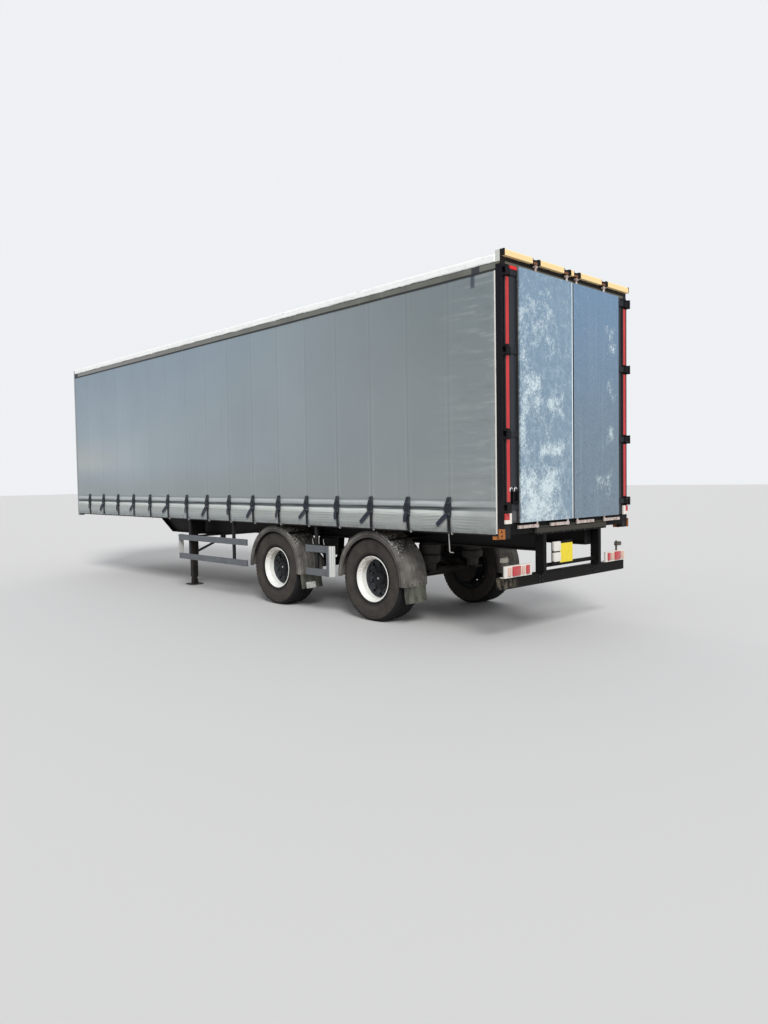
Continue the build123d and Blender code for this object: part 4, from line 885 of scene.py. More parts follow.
seamZinc = Finish("seamZinc", tone(232, 240, 242), 0.45).streaked(tone(190, 204, 210), 8.0, 20.0, 0.5, 0.4).done()
print("materials built")

nodeFinish = [
    (chassisBlack, "chassis_rails cross_bearers side_raves landing_legs landing_feet guard_hangers"),
    (bogieBlack, "air_vessels axles suspension"), (frameBlack, "rear_sill underrun_frame underrun_bar"),
    (postBlack, "rear_posts hinge_lugs door_hinges_left door_hinges_right"), (doorBlack, "door_left door_right"),
    (galvanised, "door_panel_left door_panel_right"), (zincRods(), "lock_rods_left lock_rods_right"),
    (deckBoard(), "deck_floor"), (grey, "front_bulkhead sliding_pillars"), (redGuard(), "post_strips"),
    (headerPaint(), "rear_header"), (creamCowl(), "header_cowl"), (rustedPlate(), "curtain_tensioners"),
    (rail, "cant_rails"), (alloy, "roof_bows side_guards"), (steel, "skid_plate kingpin"),
    (white, "lamp_boards"), (plateYellow(), "number_plate"), (markerPaint(), "outline_markers"),
    (fittingsPaint(), "door_fittings_left"), (bags, "air_bags"),
]
for axle in wheelCentres:
    nodeFinish += [(enamels[axle], f"rims_{axle}_left rims_{axle}_right"),
                   (irons[axle], f"hub_{axle}_left hub_{axle}_right")]
for material, names in nodeFinish:
    for name in names.split():
        nodes[name].data.materials.clear()
        nodes[name].data.materials.append(material)
print("solids finished")


# Curtains

# ridge, groove, crease, belly and foot: amount, height and breadth of a bell; skirtEnd to footTop are heights
curtainLook = {"columns": 440, "skirtRows": 66, "upperRows": 44, "skirtTop": 1.62, "wall": 0.0022,
               "ridge": (0.010, 1.512, 0.022), "crease": (0.003, 1.556, 0.007), "groove": (0.012, 1.459, 0.014),
               "belly": (0.018, 1.40, 0.030, 0.085), "foot": (0.003, 1.30, 0.07), "wrinkle": 0.0022,
               "pucker": 0.003, "wave": 0.0022, "rearGap": 0.024, "buckleMiddle": 0.024, "buckleHalf": 0.045,
               "hem": 0.004, "seam": 0.0012, "rearFold": 0.0035, "rearCrumple": 0.002, "rearReach": 0.16,
               "skirtEnd": 1.44, "upperFoot": 1.58, "collar": 1.66, "topEdge": 4.0, "footTop": 1.31,
               "footDepth": 0.0045}


def curtainShape(seed):
    # y = skin + ridge - groove + belly between the straps + wrinkles, each a bell or a sine of x and z
    look, turn = curtainLook, 2 * math.pi
    low, high = nodeBox("curtain_left")
    x = np.linspace(low[0] + look["rearGap"], high[0], look["columns"])
    z = np.concatenate([np.linspace(low[2], look["skirtTop"], look["skirtRows"], endpoint=False),
                        np.linspace(look["skirtTop"], high[2], look["upperRows"])])
    gridX, gridZ = np.meshgrid(x, z, indexing="ij")
    phase = (gridX - strapLook["first"]) / strapLook["pitch"]
    offset = (phase - np.round(phase)) * strapLook["pitch"]
    near = np.abs(offset)
    clear = np.maximum(np.abs(offset - look["buckleMiddle"]) - look["buckleHalf"], 0)
    apart = 1 - np.exp(-(clear / 0.06) ** 2)
    uneven = 0.8 + 0.28 * ripple(gridX, 0 * gridX, 5, seed, 0.3, 1.1)
    skirt = smooth01((gridZ - low[2]) / 0.04) * smooth01((look["skirtEnd"] - gridZ) / 0.05)
    fold = gridZ + 0.008 * ripple(gridX, 0 * gridX, 4, seed + 1, 0.3, 1.0)

    def swell(name, height):
        amount, middle, breadth = look[name]
        return amount * bell(height, middle, breadth)

    out = swell("ridge", fold) * apart * uneven - swell("crease", fold)
    out -= swell("groove", fold) * (0.6 + 0.4 * apart)
    amount, middle, above, below = look["belly"]
    out += amount * apart * uneven * bell(fold, middle, np.where(fold > middle, above, below))
    out += swell("foot", gridZ) - look["hem"] * bell(gridZ, low[2], 0.022)
    drift = 1.3 * np.sin(2.1 * gridX + seed) + 1.1 * ripple(gridX, gridZ, 4, seed + 2, 0.5, 1.6)
    strength = smooth01(0.5 + 0.8 * ripple(gridX, gridZ * 2, 5, seed + 3, 0.5, 1.8))
    out += look["wrinkle"] * np.sin(turn * 30 * gridZ + drift) * skirt * strength * apart
    out += look["pucker"] * np.sin(turn * 22 * gridZ + 30 * near) * np.exp(-clear / 0.06) * skirt * apart
    out += (0.5 * look["pucker"] * np.sin(turn * 9 * gridZ + 12 * near) * np.exp(-near / 0.09)
            * bell(gridZ, look["collar"], 0.08))
    upper = smooth01((gridZ - look["upperFoot"]) / 0.12)
    out += look["wave"] * upper * ripple(gridX, gridZ, 7, seed + 4, 0.25, 1.0)
    out -= look["seam"] * upper * bell(near, 0, 0.01)
    rear = np.exp(-(gridX - x[0]) / look["rearReach"])
    folds = np.sin(turn * 2.6 * gridZ + 9 * (gridX - x[0])) * smooth01((gridZ - 1.6) / 0.1)
    crumple = ripple(gridX * 2, gridZ * 5, 6, seed + 5, 0.6, 2.0)
    out += look["rearFold"] * rear * folds + look["rearCrumple"] * rear * crumple
    out *= smooth01((look["topEdge"] - gridZ) / 0.10)
    out = np.where(gridZ < look["footTop"], np.maximum(out, -look["footDepth"]), out)
    points = np.stack([gridX, high[1] - 0.0004 + out, gridZ], -1)
    return flipped(gridShape(points)), np.stack([gridX, gridZ], -1).reshape(-1, 2)


for side, seed in (("left", 3), ("right", 40)):
    shape, uv = curtainShape(seed)
    if side == "right":
        shape = mirrored(shape)
    piece = addPiece(f"curtain_cloth_{side}", [shape], vinyl, replacing=[f"curtain_{side}"],
                     wall=curtainLook["wall"], uv=uv, recalc=False, smooth=60)
print("curtains hung")


# Roof sheet

roofLook = {"columns": 400, "rows": 76, "wall": 0.0025, "crinkle": 0.0035, "sag": 0.007, "hem": 0.0018,
            "flat": 0.8, "round": 0.9, "roundWidth": 0.028, "roundRise": 0.022,
            "edgeRise": 0.066, "crownGap": 0.004, "sideGap": 0.002}


def roofShape():
    # across the roof the sheet runs up one skirt, round its edge, over the crown and down the other side;
    # along it, it sags between the bows and crinkles most at the edges
    look = roofLook
    low, high = nodeBox("roof_sheet")
    x = np.linspace(low[0], high[0], look["columns"])
    edgeZ, crown, half = low[2] + look["edgeRise"], high[2] - look["crownGap"], high[1] - look["sideGap"]
    flat, skirt, width, rise = look["flat"], look["round"], look["roundWidth"], look["roundRise"]
    w = np.linspace(-1, 1, look["rows"])
    far = np.abs(w)
    quarter = np.clip((far - flat) / 0.1, 0, 1) * math.pi / 2
    y = np.where(far > skirt, half, half - width + width * np.sin(quarter))
    y = np.where(far < flat, (half - width) * far / flat, y) * np.sign(w)
    skirtZ = low[2] + (edgeZ - low[2]) * (1 - np.clip((far - skirt) / 0.1, 0, 1))
    topZ = crown - (crown - edgeZ - rise) * (far / flat) ** 2
    z = np.where(far > skirt, skirtZ, np.where(far > flat, edgeZ + rise * np.cos(quarter), topZ))
    gridX, gridW = np.meshgrid(x, w, indexing="ij")
    gridY, gridZ = np.broadcast_to(y, gridX.shape), np.broadcast_to(z, gridX.shape)
    edge = smooth01((np.abs(gridW) - 0.55) / 0.3)
    bow = (gridX - low[0]) / (high[0] - low[0]) * 10
    sag = -look["sag"] * np.sin(math.pi * bow) ** 2 * (1 - edge)
    sharp = np.abs(ripple(gridX, gridY, 6, 71, 3.0, 9.0)) - 0.8
    lift = sag + look["crinkle"] * (0.35 + edge) * sharp + 0.0015 * ripple(gridX, gridY, 8, 72, 4.0, 10.0)
    outwards = np.clip((np.abs(gridW) - 0.82) / 0.08, 0, 1)
    foot = np.clip((np.abs(gridW) - skirt) / 0.1, 0, 1)
    wave = foot * (look["hem"] * ripple(gridX, 0 * gridX, 7, 73, 0.4, 3.0)
                   + 0.002 * ripple(gridX, gridW, 8, 75, 3.0, 11.0))
    puff = 0.0022 * ripple(gridX, gridZ * 6, 8, 74, 2.0, 8.0)
    gridY = gridY + np.sign(gridW) * outwards * np.clip(puff, -0.003, 0.006)
    gridZ = gridZ + lift * (1 - outwards) + wave
    shape = flipped(gridShape(np.stack([gridX, gridY, gridZ], -1)))
    return shape, np.stack([gridX, gridW * 1.3], -1).reshape(-1, 2)


shape, uv = roofShape()
roof = addPiece("roof_cloth", [shape], sheeting, replacing=["roof_sheet"],
                wall=roofLook["wall"], uv=uv, recalc=False, smooth=50)
print("roof laid")


# Straps, buckles, tails and hooks

skin = nodeBox("curtain_left")[1][1]
# the buckle's outline, as heights and how far back, forward and out it reaches there
buckleLook = {"rows": 17, "around": 13, "back": ([1.362, 1.40, 1.50, 1.59], [-0.024, -0.029, -0.030, -0.026]),
              "front": ([1.362, 1.385, 1.425, 1.455, 1.495, 1.545, 1.59],
                        [0.012, 0.040, 0.074, 0.080, 0.067, 0.046, 0.026]),
              "depth": ([1.362, 1.385, 1.43, 1.49, 1.55, 1.59], [0.009, 0.017, 0.0262, 0.0265, 0.020, 0.012])}


def buckleShape(x):
    # at each height half an ellipse stands on the skin: x = middle + half cos a, y = skin + depth sin^0.6 a
    look = buckleLook
    level = np.linspace(1.362, 1.590, look["rows"])
    back, front, depth = (np.interp(level, *look[name]) for name in ("back", "front", "depth"))
    back, front = x + back, x + front
    angle = np.linspace(0, math.pi, look["around"])
    middle, half = (front + back) / 2, (front - back) / 2
    return capped(np.stack([middle[:, None] + half[:, None] * np.cos(angle),
                            skin + 0.002 + depth[:, None] * np.sin(angle) ** 0.6,
                            np.broadcast_to(level[:, None], (look["rows"], look["around"]))], -1))


def onSkin(x, low, high, radius):
    # a small rounded block, given by how far it reaches from the strap's x, from the skin, and by its heights
    return pill((x + low[0], skin + low[1], low[2]), (x + high[0], skin + high[1], high[2]), radius, 1)


def strapShapes(x, long, pick):
    # the strap runs down the skin to its hook; the tail leaves the buckle as half a sine, forward and down
    look = strapLook
    up = np.linspace(0, 1, 10)[:, None]
    foot, top, rise = look["foot"], look["top"], look["hookRise"]
    lean = pick.uniform(-0.004, 0.006)
    lower = np.hstack([x - 0.004 + lean * up, skin + 0.014 + 0.003 * np.sin(math.pi * up), foot + (top - foot) * up])
    angle, length = look["longTail"] if long else look["shortTail"]
    angle, length = angle + pick.uniform(-0.10, 0.10), length * pick.uniform(0.85, 1.15)
    start = np.array([x + 0.026, skin + 0.0235, look["tailTop"]])
    drop = np.array([math.sin(angle), 0, -math.cos(angle)])
    tail = start + drop * length * up + np.array([0, 1, 0]) * 0.006 * np.sin(math.pi * up * pick.uniform(0.8, 1.4))
    side = np.array([math.cos(angle), pick.uniform(-0.25, 0.25), math.sin(angle)])
    strap = sweep(lower, bar(look["lowerWidth"], look["thickness"]), (1, 0, 0))
    tail = sweep(tail, bar(look["tailWidth"], look["thickness"]), side)
    metal = [buckleShape(x), onSkin(x, (-0.020, 0.010, 1.385), (0.046, 0.0255, 1.412), 0.006)]
    for z in (1.580, 1.552, 1.524):
        metal.append(onSkin(x, (-0.022, 0.010, z - 0.007), (0.026, 0.0285, z + 0.003), 0.003))
    metal.append(onSkin(x, (-0.031, 0.004, 1.40), (-0.026, 0.022, 1.575), 0.002))
    metal.append(onSkin(x, (-0.042, 0.009, foot - 0.005), (0.021, 0.019, foot + 0.005), 0.003))
    turn = np.linspace(0, 1.15 * math.pi, 9)
    bend = np.stack([np.full(9, x - 0.038), skin + 0.013 - rise * (1 - np.cos(turn)),
                     look["hookLow"] - rise * np.sin(turn)], -1)
    hook = sweep(np.vstack([[x - 0.038, skin + 0.013, foot + 0.004], bend]), circle(0.0042, 8), (1, 0, 0))
    return strap, tail, metal, hook


for side, seed in (("left", 21), ("right", 22)):
    pick = np.random.default_rng(seed)
    webs, tails, metals, hooks = zip(*(strapShapes(strapLook["first"] + i * strapLook["pitch"], i % 2 == 0, pick)
                                       for i in range(strapLook["count"])))
    metals = sum(metals, [])
    if side == "right":
        webs, tails, metals, hooks = ([mirrored(shape) for shape in group] for group in (webs, tails, metals, hooks))
    addPiece(f"strap_webs_{side}", webs, straps,
             replacing=["curtain_straps"] if side == "left" else ())
    addPiece(f"strap_tails_{side}", tails, tailCloth)
    addPiece(f"strap_buckles_{side}", metals, buckles)
    addPiece(f"strap_hooks_{side}", hooks, bright)
print("straps fastened")


# Tyres, rim lips and wheel nuts

wheelLook = {"segments": 192, "lugPitch": 3, "lugDepth": 0.007, "nuts": 10, "nutRing": 0.1675, "nutSize": 0.033,
             "nutTurn": 0.31, "lipOffset": 0.160, "lipRadius": 0.2875, "lipRound": 0.005, "discFace": 0.014,
             "capBolts": 8, "capRing": 0.118}
# half the tyre's section as (y, r): bead and wall with two raised rings
tyreWall = ((0.1480, 0.287), (0.1505, 0.302), (0.1570, 0.306), (0.1640, 0.317), (0.1655, 0.322), (0.1715, 0.324),
            (0.1735, 0.333), (0.1775, 0.350), (0.1830, 0.374), (0.1875, 0.396), (0.1895, 0.414), (0.1895, 0.440),
            (0.1880, 0.456), (0.1897, 0.459), (0.1890, 0.466), (0.1860, 0.469), (0.1835, 0.484))
# its shoulder as (y, r, share of the lugs' depth), and its grooves as (y offset, r) from their middles
tyreShoulder = ((0.1800, 0.499, 0.6), (0.1755, 0.511, 1.0), (0.1690, 0.521, 1.0), (0.1600, 0.5295, 1.0),
                (0.1500, 0.5325, 0.5))
grooveEdge = ((0.0070, 0.5345), (0.0050, 0.5220), (-0.0050, 0.5220), (-0.0070, 0.5345))


def tyreProfile():
    # bead, wall, shoulder, and a tread with five straight grooves: (y, r, shoulder share)
    tread = [(middle + y, r) for middle in (0.108, 0.054) for y, r in grooveEdge] + [(0.0070, 0.5350), (0.0050, 0.5220)]
    half = [(*point, 0.0) for point in tyreWall] + list(tyreShoulder) + [(*point, 0.0) for point in tread]
    return np.array(half + [(-y, r, s) for y, r, s in reversed(half)])


def tyreShape(centre):
    # the profile turned about the axle, its shoulder cut back at every third segment
    y, r, share = tyreProfile().T[:, :, None]
    cut = (np.arange(wheelLook["segments"]) % wheelLook["lugPitch"] == 0) * wheelLook["lugDepth"] * share
    return turned(y - np.sign(y) * 0.4 * cut, r - cut, centre, wheelLook["segments"])


def lipShape(centre):
    # a rounded bead of steel wrapped round the rim's edge
    y, r = circle(wheelLook["lipRound"]).T[:, :, None]
    return turned(y, wheelLook["lipRadius"] + r, centre, 120)


def wheelPieces(axle, side, sign):
    look = wheelLook
    x, z = wheelCentres[axle]
    body = f"wheels_{axle}_{side}"
    low, high = nodeBox(f"tyres_{axle}_left")
    middle = (low[1] + high[1]) / 2

    def around(count, radius, y, start=0.0):
        angle = np.arange(count) * 2 * math.pi / count + start
        return np.stack([x + radius * np.cos(angle), np.full(count, sign * y), z + radius * np.sin(angle)], -1)

    addPiece(f"tyre_tread_{axle}_{side}", [tyreShape((x, sign * middle, z))], rubbers[axle], body,
             [f"tyres_{axle}_{side}"])
    lips = [lipShape((x, sign * (middle + edge), z)) for edge in (-look["lipOffset"], look["lipOffset"])]
    addPiece(f"rim_lips_{axle}_{side}", lips, enamels[axle], body)
    face, out = middle + look["discFace"], (0, sign, 0)
    spots = around(look["nuts"], look["nutRing"], face, look["nutTurn"])
    shapes = [stamped(hexBolt(look["nutSize"], 0.026), spots, out),
              stamped(dome(0.0095, 0.012), spots + [0, sign * 0.024, 0], out),
              stamped(hexBolt(0.017, 0.009), around(look["capBolts"], look["capRing"], face + 0.0105), out)]
    addPiece(f"wheel_nuts_{axle}_{side}", shapes, blackSteel, body)


for axle in wheelCentres:
    for side, sign in sides:
        wheelPieces(axle, side, sign)
print("wheels shod")


# Mudguards, flaps and what lies on them

guardLook = {"radius": 0.615, "centre": 0.535, "width": 0.416, "lip": 0.085, "wall": 0.005, "steps": 72,
             "sweep": 185, "flakes": 420, "flapWidth": 0.375, "flapLean": 0.03, "flapShift": 0.0034,
             "flapThickness": 0.006, "boltHeight": 0.505, "boltBack": 0.613,
             "boltSpread": (-0.142, -0.07, 0.07, 0.142), "litterTurn": (122, 10), "litterSize": (0.004, 0.012),
             "litterEdge": 0.204}


def guardSection():
    # across the guard, (y, height over the arc): two ridges at each edge, three ribs on the crown, a closed loop
    half, wall, lip = guardLook["width"] / 2, guardLook["wall"], guardLook["lip"]
    edge = ((0, -lip), (-0.001, -0.046), (0.001, -0.042), (0.001, -0.030), (-0.001, -0.026), (0, -0.014),
            (-0.004, -0.005), (-0.012, 0.0), (-0.030, 0.0), (-0.035, -0.005), (-0.053, -0.005), (-0.058, 0.0),
            (-0.074, 0.0), (-0.079, -0.0055))
    right = [(half + y, z) for y, z in edge] + [(0.085, -0.0055), (0.079, -0.0005), (0.060, -0.0005), (0.054, -0.0055)]
    crown = [(0.013, -0.0055), (0.008, -0.001), (-0.008, -0.001), (-0.013, -0.0055)]
    under = [(-half + wall, -lip), (-half + wall, -0.0095), (half - wall, -0.0095), (half - wall, -lip)]
    return np.array(right + crown + [(-y, z) for y, z in reversed(right)] + under), half


def flakeShapes(x, sign):
    # leaf litter on the rear top: five-cornered flakes lying on the arc, each with a smaller raised face
    look = guardLook
    count, reach = look["flakes"], look["radius"] - 0.003
    turn = np.radians(draw.normal(*look["litterTurn"], count))
    across = sign * (guardMiddle + look["litterEdge"] - np.minimum(draw.exponential(0.10, count), 0.38))
    size = draw.uniform(*look["litterSize"], count)
    flakes = []
    for t, y, s in zip(turn, across, size):
        out, flat = np.array([math.cos(t), 0, math.sin(t)]), np.array([-math.sin(t), 0, math.cos(t)])
        middle = np.array([x, y, look["centre"]]) + reach * out
        spin = draw.uniform(0, 6.28, 5) * 0.3 + np.arange(5) * 1.2566
        rim = middle + s * (np.cos(spin)[:, None] * flat + np.sin(spin)[:, None] * np.array([0, 1, 0]))
        flakes.append(capped(np.array([rim, middle + (rim - middle) * 0.6 + out * s * 0.45])))
    return flakes


section, halfWidth = guardSection()
guardMiddle = nodeBox("mudguards")[1][1] - halfWidth
shapes, flakes = [], []
for x, _ in wheelCentres.values():
    angle = np.radians(np.linspace(0, guardLook["sweep"], guardLook["steps"]))
    for _, sign in sides:
        path = np.stack([x + guardLook["radius"] * np.cos(angle), np.full(len(angle), sign * guardMiddle),
                         guardLook["centre"] + guardLook["radius"] * np.sin(angle)], -1)
        shapes.append(sweep(path, section * [1, -1], (0, 1, 0)))
        flakes += flakeShapes(x, sign)
addPiece("mudguard_shells", shapes, plastic, replacing=["mudguards"], smooth=35,
         uv=np.tile(section, (4 * guardLook["steps"], 1)))
addPiece("guard_litter", flakes, litter, smooth=20)


def flapShape(x, sign, seed):
    # a hanging rubber sheet, flat inside the guard: below it leans back with depth squared and waves across
    look = guardLook
    low, high = nodeBox("mud_flaps")
    u, v = np.meshgrid(np.linspace(-1, 1, 16), np.linspace(0, 1, 20), indexing="ij")
    below = np.clip((v - 0.36) / 0.64, 0, 1)
    wave = 0.006 * below * ripple(u, v, 4, seed, 0.3, 0.9)
    front = np.stack([x - look["flapLean"] * below ** 2 + wave, sign * guardMiddle + u * look["flapWidth"] / 2,
                      high[2] - v * (high[2] - low[2])], -1)
    loop = np.concatenate([front, (front - [look["flapThickness"], 0, 0])[::-1]], 0)
    return capped(np.swapaxes(loop, 0, 1))


flapFront = (nodeBox("mud_flaps")[0][0] - wheelCentres["rear"][0] + guardLook["flapShift"]
             + guardLook["flapThickness"])
flapShapes, washerSpots = [], []
for n, (x, _) in enumerate(wheelCentres.values()):
    for _, sign in sides:
        flapShapes.append(flapShape(x + flapFront, sign, 5 + n * 2 + sign))
        washerSpots += [(x - guardLook["boltBack"], sign * guardMiddle + y, guardLook["boltHeight"])
                        for y in guardLook["boltSpread"]]
addPiece("flap_sheets", flapShapes, rubber, replacing=["mud_flaps"], smooth=30)
addPiece("flap_bolts", [stamped(hexBolt(0.016, 0.007), washerSpots, (-1, 0, 0))], blackSteel)
print("guards and flaps done")


# Bolts on the side guards, legs, end frame and its beam: distances ahead of the doors, and heights

boltLook = {"guardPosts": (5.225, 6.525, 3.205), "guardHeights": (0.545, 0.585, 0.86, 0.90), "frontPlate": 6.81,
            "midPlate": 2.985, "leg": 7.2, "legHeights": (0.93, 0.99, 1.05, 1.11), "legOut": 0.84,
            "frameSpread": (-0.6, -0.545, 0.545, 0.6), "frameHeights": (0.65, 0.70), "frame": 0.065,
            "beam": 0.005, "beamHeight": 1.178, "beamReach": 0.66, "beamBolts": 7}


def boltRows():
    # (x, y, z) of the heads on the left guard, on the left leg, and on the rear faces
    look = boltLook
    guardOuter = nodeBox("side_guards")[1][1] - 0.003
    rails = [(ahead(post), guardOuter, z) for post in look["guardPosts"] for z in look["guardHeights"]]
    for z in look["guardHeights"]:
        rails += [(ahead(look["frontPlate"]), guardOuter, z), (ahead(look["midPlate"]), guardOuter + 0.003, z)]
    legs = [(ahead(look["leg"]) + dx, look["legOut"], z) for z in look["legHeights"] for dx in (-0.035, 0.035)]
    back = [(ahead(look["frame"]), y, z) for y in look["frameSpread"] for z in look["frameHeights"]]
    spread = np.linspace(-look["beamReach"], look["beamReach"], look["beamBolts"])
    return rails, legs, back + [(ahead(look["beam"]), y, look["beamHeight"]) for y in spread]


railSpots, legSpots, backSpots = boltRows()
addPiece("guard_bolts", stampedBothSides(hexBolt(0.017, 0.006), railSpots), alloy)
addPiece("frame_bolts", [*stampedBothSides(hexBolt(0.019, 0.009), legSpots),
                         stamped(hexBolt(0.019, 0.010), backSpots, (-1, 0, 0))], blackSteel)


# Rivets and trims of the rear doors

trimLook = {"hingeHeights": (1.48, 2.25, 3.12, 3.93), "hingeAhead": 0.027, "hingeInsets": (0.075, 0.105),
            "hingeHalf": 0.016, "rivetPitch": 0.155, "rivetColumns": 6, "meetingWidth": 0.014,
            "trimWidth": 0.010, "sealWidth": 0.012}


def doorTrim(side, sign):
    # rivets along the panel's edges, a bright meeting strip, an olive trim and rubber seals, all on the door
    look, body = trimLook, f"door_{side}"
    low, high = nodeBox("door_panel_left")
    leafLow, leafHigh = nodeBox("door_left")

    def strip(x, y, z, radius):
        return [pill((x[0], sign * y[0], z[0]), (x[1], sign * y[1], z[1]), radius)]

    spots = []
    for z in np.arange(low[2] + 0.06, high[2] - 0.03, look["rivetPitch"]):
        spots += [(low[0], high[1] - 0.018, z), (low[0], low[1] + 0.04, z)]
    for y in np.linspace(low[1] + 0.15, high[1] - 0.12, look["rivetColumns"]):
        spots += [(low[0], y, high[2] - 0.022), (low[0], y, low[2] + 0.022)]
    rivets = [stamped(dome(0.0052, 0.0024, 8), np.array(spots) * [1, sign, 1], (-1, 0, 0))]
    addPiece(f"panel_rivets_{side}", rivets, galvanised, body)
    meeting = strip((low[0] - 0.003, low[0] + 0.02), (low[1], low[1] + look["meetingWidth"]),
                    (low[2] + 0.004, high[2] - 0.004), 0.003)
    addPiece(f"meeting_strip_{side}", meeting, seamZinc if side == "left" else galvanised, body)
    trim = strip((low[0] + 0.016, low[0] + 0.038), (high[1] + 0.001, high[1] + look["trimWidth"]),
                 (low[2], high[2]), 0.003)
    addPiece(f"panel_trim_{side}", trim, rail, body)
    seal = strip((leafLow[0] - 0.006, leafLow[0] + 0.012), (leafHigh[1] - look["sealWidth"], leafHigh[1] + 0.003),
                 (leafLow[2] + 0.01, leafHigh[2] - 0.002), 0.005)
    addPiece(f"door_seal_{side}", seal, bags, body)
    hinge = [(ahead(look["hingeAhead"]), sign * (leafHigh[1] - inset), z + dz) for z in look["hingeHeights"]
             for inset in look["hingeInsets"] for dz in (-look["hingeHalf"], look["hingeHalf"])]
    addPiece(f"hinge_bolts_{side}", [stamped(hexBolt(0.014, 0.006), hinge, (-1, 0, 0))], blackSteel, body)


for side, sign in sides:
    doorTrim(side, sign)

# two bright hooks curl up out of the hold-back block: z = foot + rise sin a, y = middle - reach (1 - cos a)
hookLook = {"middles": (1.185, 1.11), "reach": 0.024, "foot": 1.648, "rise": 0.042, "radius": 0.0075}
hookX = nodeBox("door_fittings_left")[0][0] + 0.010
hookArc = np.linspace(0, 2.5, 12)
hookShapes = []
for y in hookLook["middles"]:
    path = np.stack([np.full(12, hookX), y - hookLook["reach"] * (1 - np.cos(hookArc)),
                     hookLook["foot"] + hookLook["rise"] * np.sin(hookArc)], -1)
    hookShapes.append(sweep(path, circle(hookLook["radius"], 10), (1, 0, 0)))
addPiece("hold_back_hooks", hookShapes, bright, "door_left")
print("doors trimmed")


# Lamps: kind, distance from the board's inner end, width and height

lampLook = (("red", 0.048, 0.060, 0.096), ("pale", 0.135, 0.050, 0.084), ("red", 0.212, 0.140, 0.104),
            ("pale", 0.380, 0.052, 0.090))
lampLow, lampHigh = nodeBox("rear_lamps")
boardWidth = 0.475
boardInner = nodeBox("lamp_boards")[1][1] - boardWidth
lampMiddle = (lampLow[2] + lampHigh[2]) / 2
lenses = {"red": [], "pale": []}
for kind, start, width, height in lampLook:
    for _, sign in sides:
        near = boardInner + start
        lenses[kind].append(pill((lampLow[0], sign * near, lampMiddle - height / 2),
                                 (lampHigh[0] + 0.002, sign * (near + width), lampMiddle + height / 2), 0.006))
addPiece("lamp_lenses_red", lenses["red"], redLens, replacing=["rear_lamps"])
addPiece("lamp_lenses_pale", lenses["pale"], paleLens)
print("lamps set")


# Small things: curtain poles, wire hangers, the inner bracket of the mid guard

smallLook = {"poleRadius": 0.0142, "poleTop": 3.945, "hangerY": 1.225, "hangerRadius": 0.0055, "curlY": 1.21,
             "curlRadius": 0.004, "bracketReach": 0.16, "bracketRise": 0.19, "bracketFoot": 0.62, "bracketStart": 3.06,
             "hangerStart": 0.84, "hangerTop": 1.185, "hangerDrop": 0.205, "hangerLean": 0.012,
             "hangerFoot": ((0.826, 0.973), (0.815, 0.967), (0.77, 0.965)), "curls": (3.06, 3.29),
             "curlBend": 0.018, "curlFoot": 0.935, "curlRise": 0.075}


def poleShape(sign):
    # a bright tube that the curtain's rear edge is wound on
    low, high = nodeBox("curtain_left")
    x, y = low[0] + 0.0145, sign * (high[1] - 0.009)
    path = [(x, y, z) for z in (low[2] + 0.01, 2.6, smallLook["poleTop"])]
    return sweep(path, circle(smallLook["poleRadius"], 20), (1, 0, 0))


def hangerShapes(sign):
    # a long wire down from the rave with a bent foot, and two short curls over the mid guard
    look, t = smallLook, np.linspace(0, 1, 12)[:, None]
    y = look["hangerY"] * sign
    straight = np.hstack([ahead(look["hangerStart"]) - look["hangerLean"] * t, y + 0 * t,
                          look["hangerTop"] - look["hangerDrop"] * t])
    foot = np.array([(ahead(x), y, z) for x, z in look["hangerFoot"]])
    shapes = [sweep(np.vstack([straight, foot]), circle(look["hangerRadius"], 8), (0, 1, 0))]
    for x in look["curls"]:
        bend = look["curlBend"] * np.sin(np.linspace(0, 2.2, 10))
        curl = np.stack([ahead(x) + bend, np.full(10, look["curlY"] * sign),
                         look["curlFoot"] + look["curlRise"] * np.linspace(0, 1, 10)], -1)
        shapes.append(sweep(curl, circle(look["curlRadius"], 8), (0, 1, 0)))
    return shapes


def bracketShape(sign):
    # a flat bar bent along an ellipse: x = start + reach (1 - cos a), z = foot + rise sin a
    look, arc = smallLook, np.linspace(0.2, math.pi * 0.62, 14)
    path = np.stack([ahead(look["bracketStart"]) + look["bracketReach"] * (1 - np.cos(arc)),
                     np.full(14, look["curlY"] * sign), look["bracketFoot"] + look["bracketRise"] * np.sin(arc)], -1)
    return sweep(path, bar(0.04, 0.006), (0, 1, 0))


addPiece("curtain_poles", [poleShape(1), poleShape(-1)], white)
addPiece("wire_hangers", hangerShapes(1) + hangerShapes(-1), bright)
addPiece("guard_brackets", [bracketShape(1), bracketShape(-1)], blackSteel)
print("small fittings added")


# Camera, lights, floor

cameraPlace = {"spot": (-10.36088, 7.72304, 1.80250), "yaw": -0.76463265, "pitch": -0.04310373,
               "roll": -0.01523583, "focalPixels": 770.2453, "imageHeight": 1024, "sensor": 36.0,
               "clipEnd": 400}
# name, strength, spread in degrees, direction: a broad sun from behind and to the left, a weak one from the front
sunLook = (("keySun", 2.3, 20, (0.62, -0.42, -0.62)), ("fillSun", 0.5, 60, (-0.6, 0.5, -0.5)))
skyLook = {"strength": 0.62, "colour": (0.93, 0.96, 1.0, 1), "seen": (0.86, 0.88, 0.90, 1)}
floorLook = {"half": 120, "colour": (0.62, 0.61, 0.60, 1), "rough": 0.9}


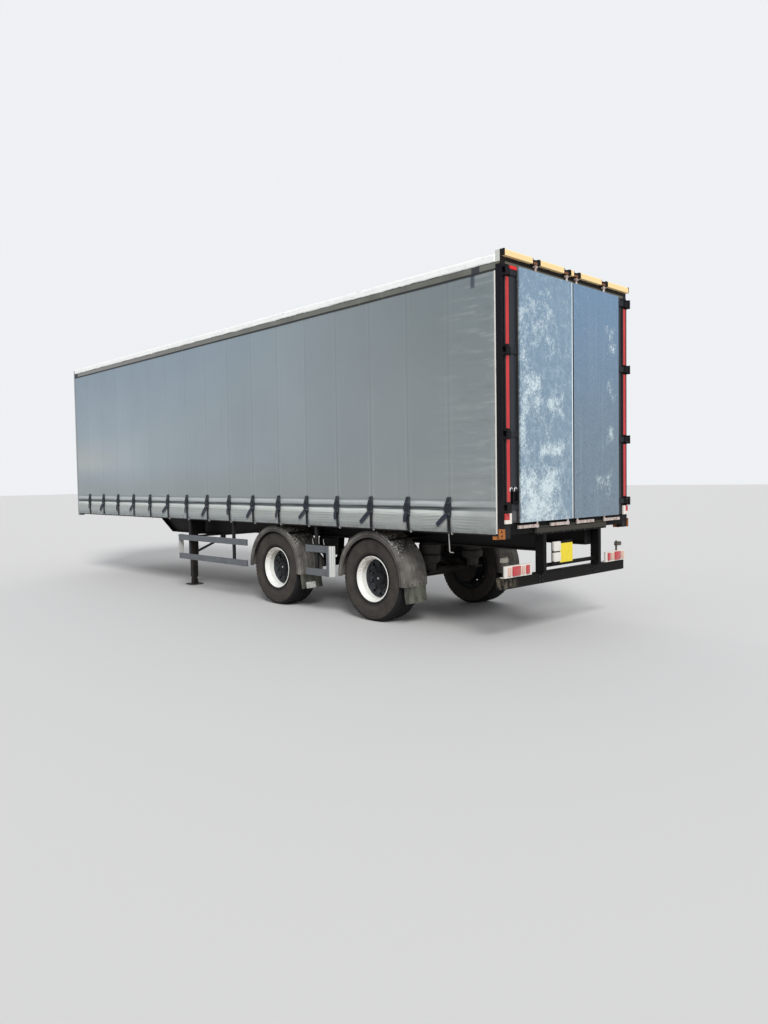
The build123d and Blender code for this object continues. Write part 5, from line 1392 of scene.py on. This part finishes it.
def addCamera():
    look = cameraPlace
    yaw, pitch, roll = look["yaw"], look["pitch"], look["roll"]
    forward = Vector((math.cos(yaw) * math.cos(pitch), math.sin(yaw) * math.cos(pitch), math.sin(pitch)))
    right = forward.cross(Vector((0, 0, 1))).normalized()
    up = right.cross(forward)
    imageRight = right * math.cos(roll) + up * math.sin(roll)
    imageUp = up * math.cos(roll) - right * math.sin(roll)
    data = bpy.data.cameras.new("photoCamera")
    data.sensor_width = look["sensor"]
    data.lens = look["focalPixels"] / look["imageHeight"] * look["sensor"]
    data.clip_end = look["clipEnd"]
    camera = bpy.data.objects.new("photoCamera", data)
    turn = Matrix((imageRight, imageUp, -forward)).transposed().to_4x4()
    camera.matrix_world = Matrix.Translation(look["spot"]) @ turn
    bpy.context.scene.collection.objects.link(camera)
    bpy.context.scene.camera = camera


def addFloor():
    corners = bar(2 * floorLook["half"], 2 * floorLook["half"])
    mesh = bpy.data.meshes.new("studioFloor")
    mesh.from_pydata([(x, y, 0.0) for x, y in corners.tolist()], [], [(0, 1, 2, 3)])
    material = bpy.data.materials.new("floorPaper")
    material.use_nodes = True
    shader = material.node_tree.nodes["Principled BSDF"]
    shader.inputs["Base Color"].default_value = floorLook["colour"]
    shader.inputs["Roughness"].default_value = floorLook["rough"]
    mesh.materials.append(material)
    floor = bpy.data.objects.new("studioFloor", mesh)
    bpy.context.scene.collection.objects.link(floor)


def addLights():
    # two suns and an even sky, which the camera sees paler than it lights
    for name, strength, spread, direction in sunLook:
        data = bpy.data.lights.new(name, "SUN")
        data.energy = strength
        data.angle = math.radians(spread)
        lamp = bpy.data.objects.new(name, data)
        lamp.rotation_euler = Vector(direction).to_track_quat("-Z", "Y").to_euler()
        bpy.context.scene.collection.objects.link(lamp)
    world = bpy.data.worlds.new("studioSky")
    world.use_nodes = True
    tree = world.node_tree
    lit = put(tree, "ShaderNodeBackground", {"Color": skyLook["colour"], "Strength": skyLook["strength"]})[0]
    seen = put(tree, "ShaderNodeBackground", {"Color": skyLook["seen"], "Strength": 1.0})[0]
    cameraRay = put(tree, "ShaderNodeLightPath")["Is Camera Ray"]
    mix = put(tree, "ShaderNodeMixShader", {0: cameraRay, 1: lit, 2: seen})[0]
    tree.links.new(mix.socket, tree.nodes["World Output"].inputs["Surface"])
    bpy.context.scene.world = world


addCamera()
addFloor()
addLights()
bpy.context.scene.view_settings.view_transform = "Standard"
print("camera, floor and lights ready")
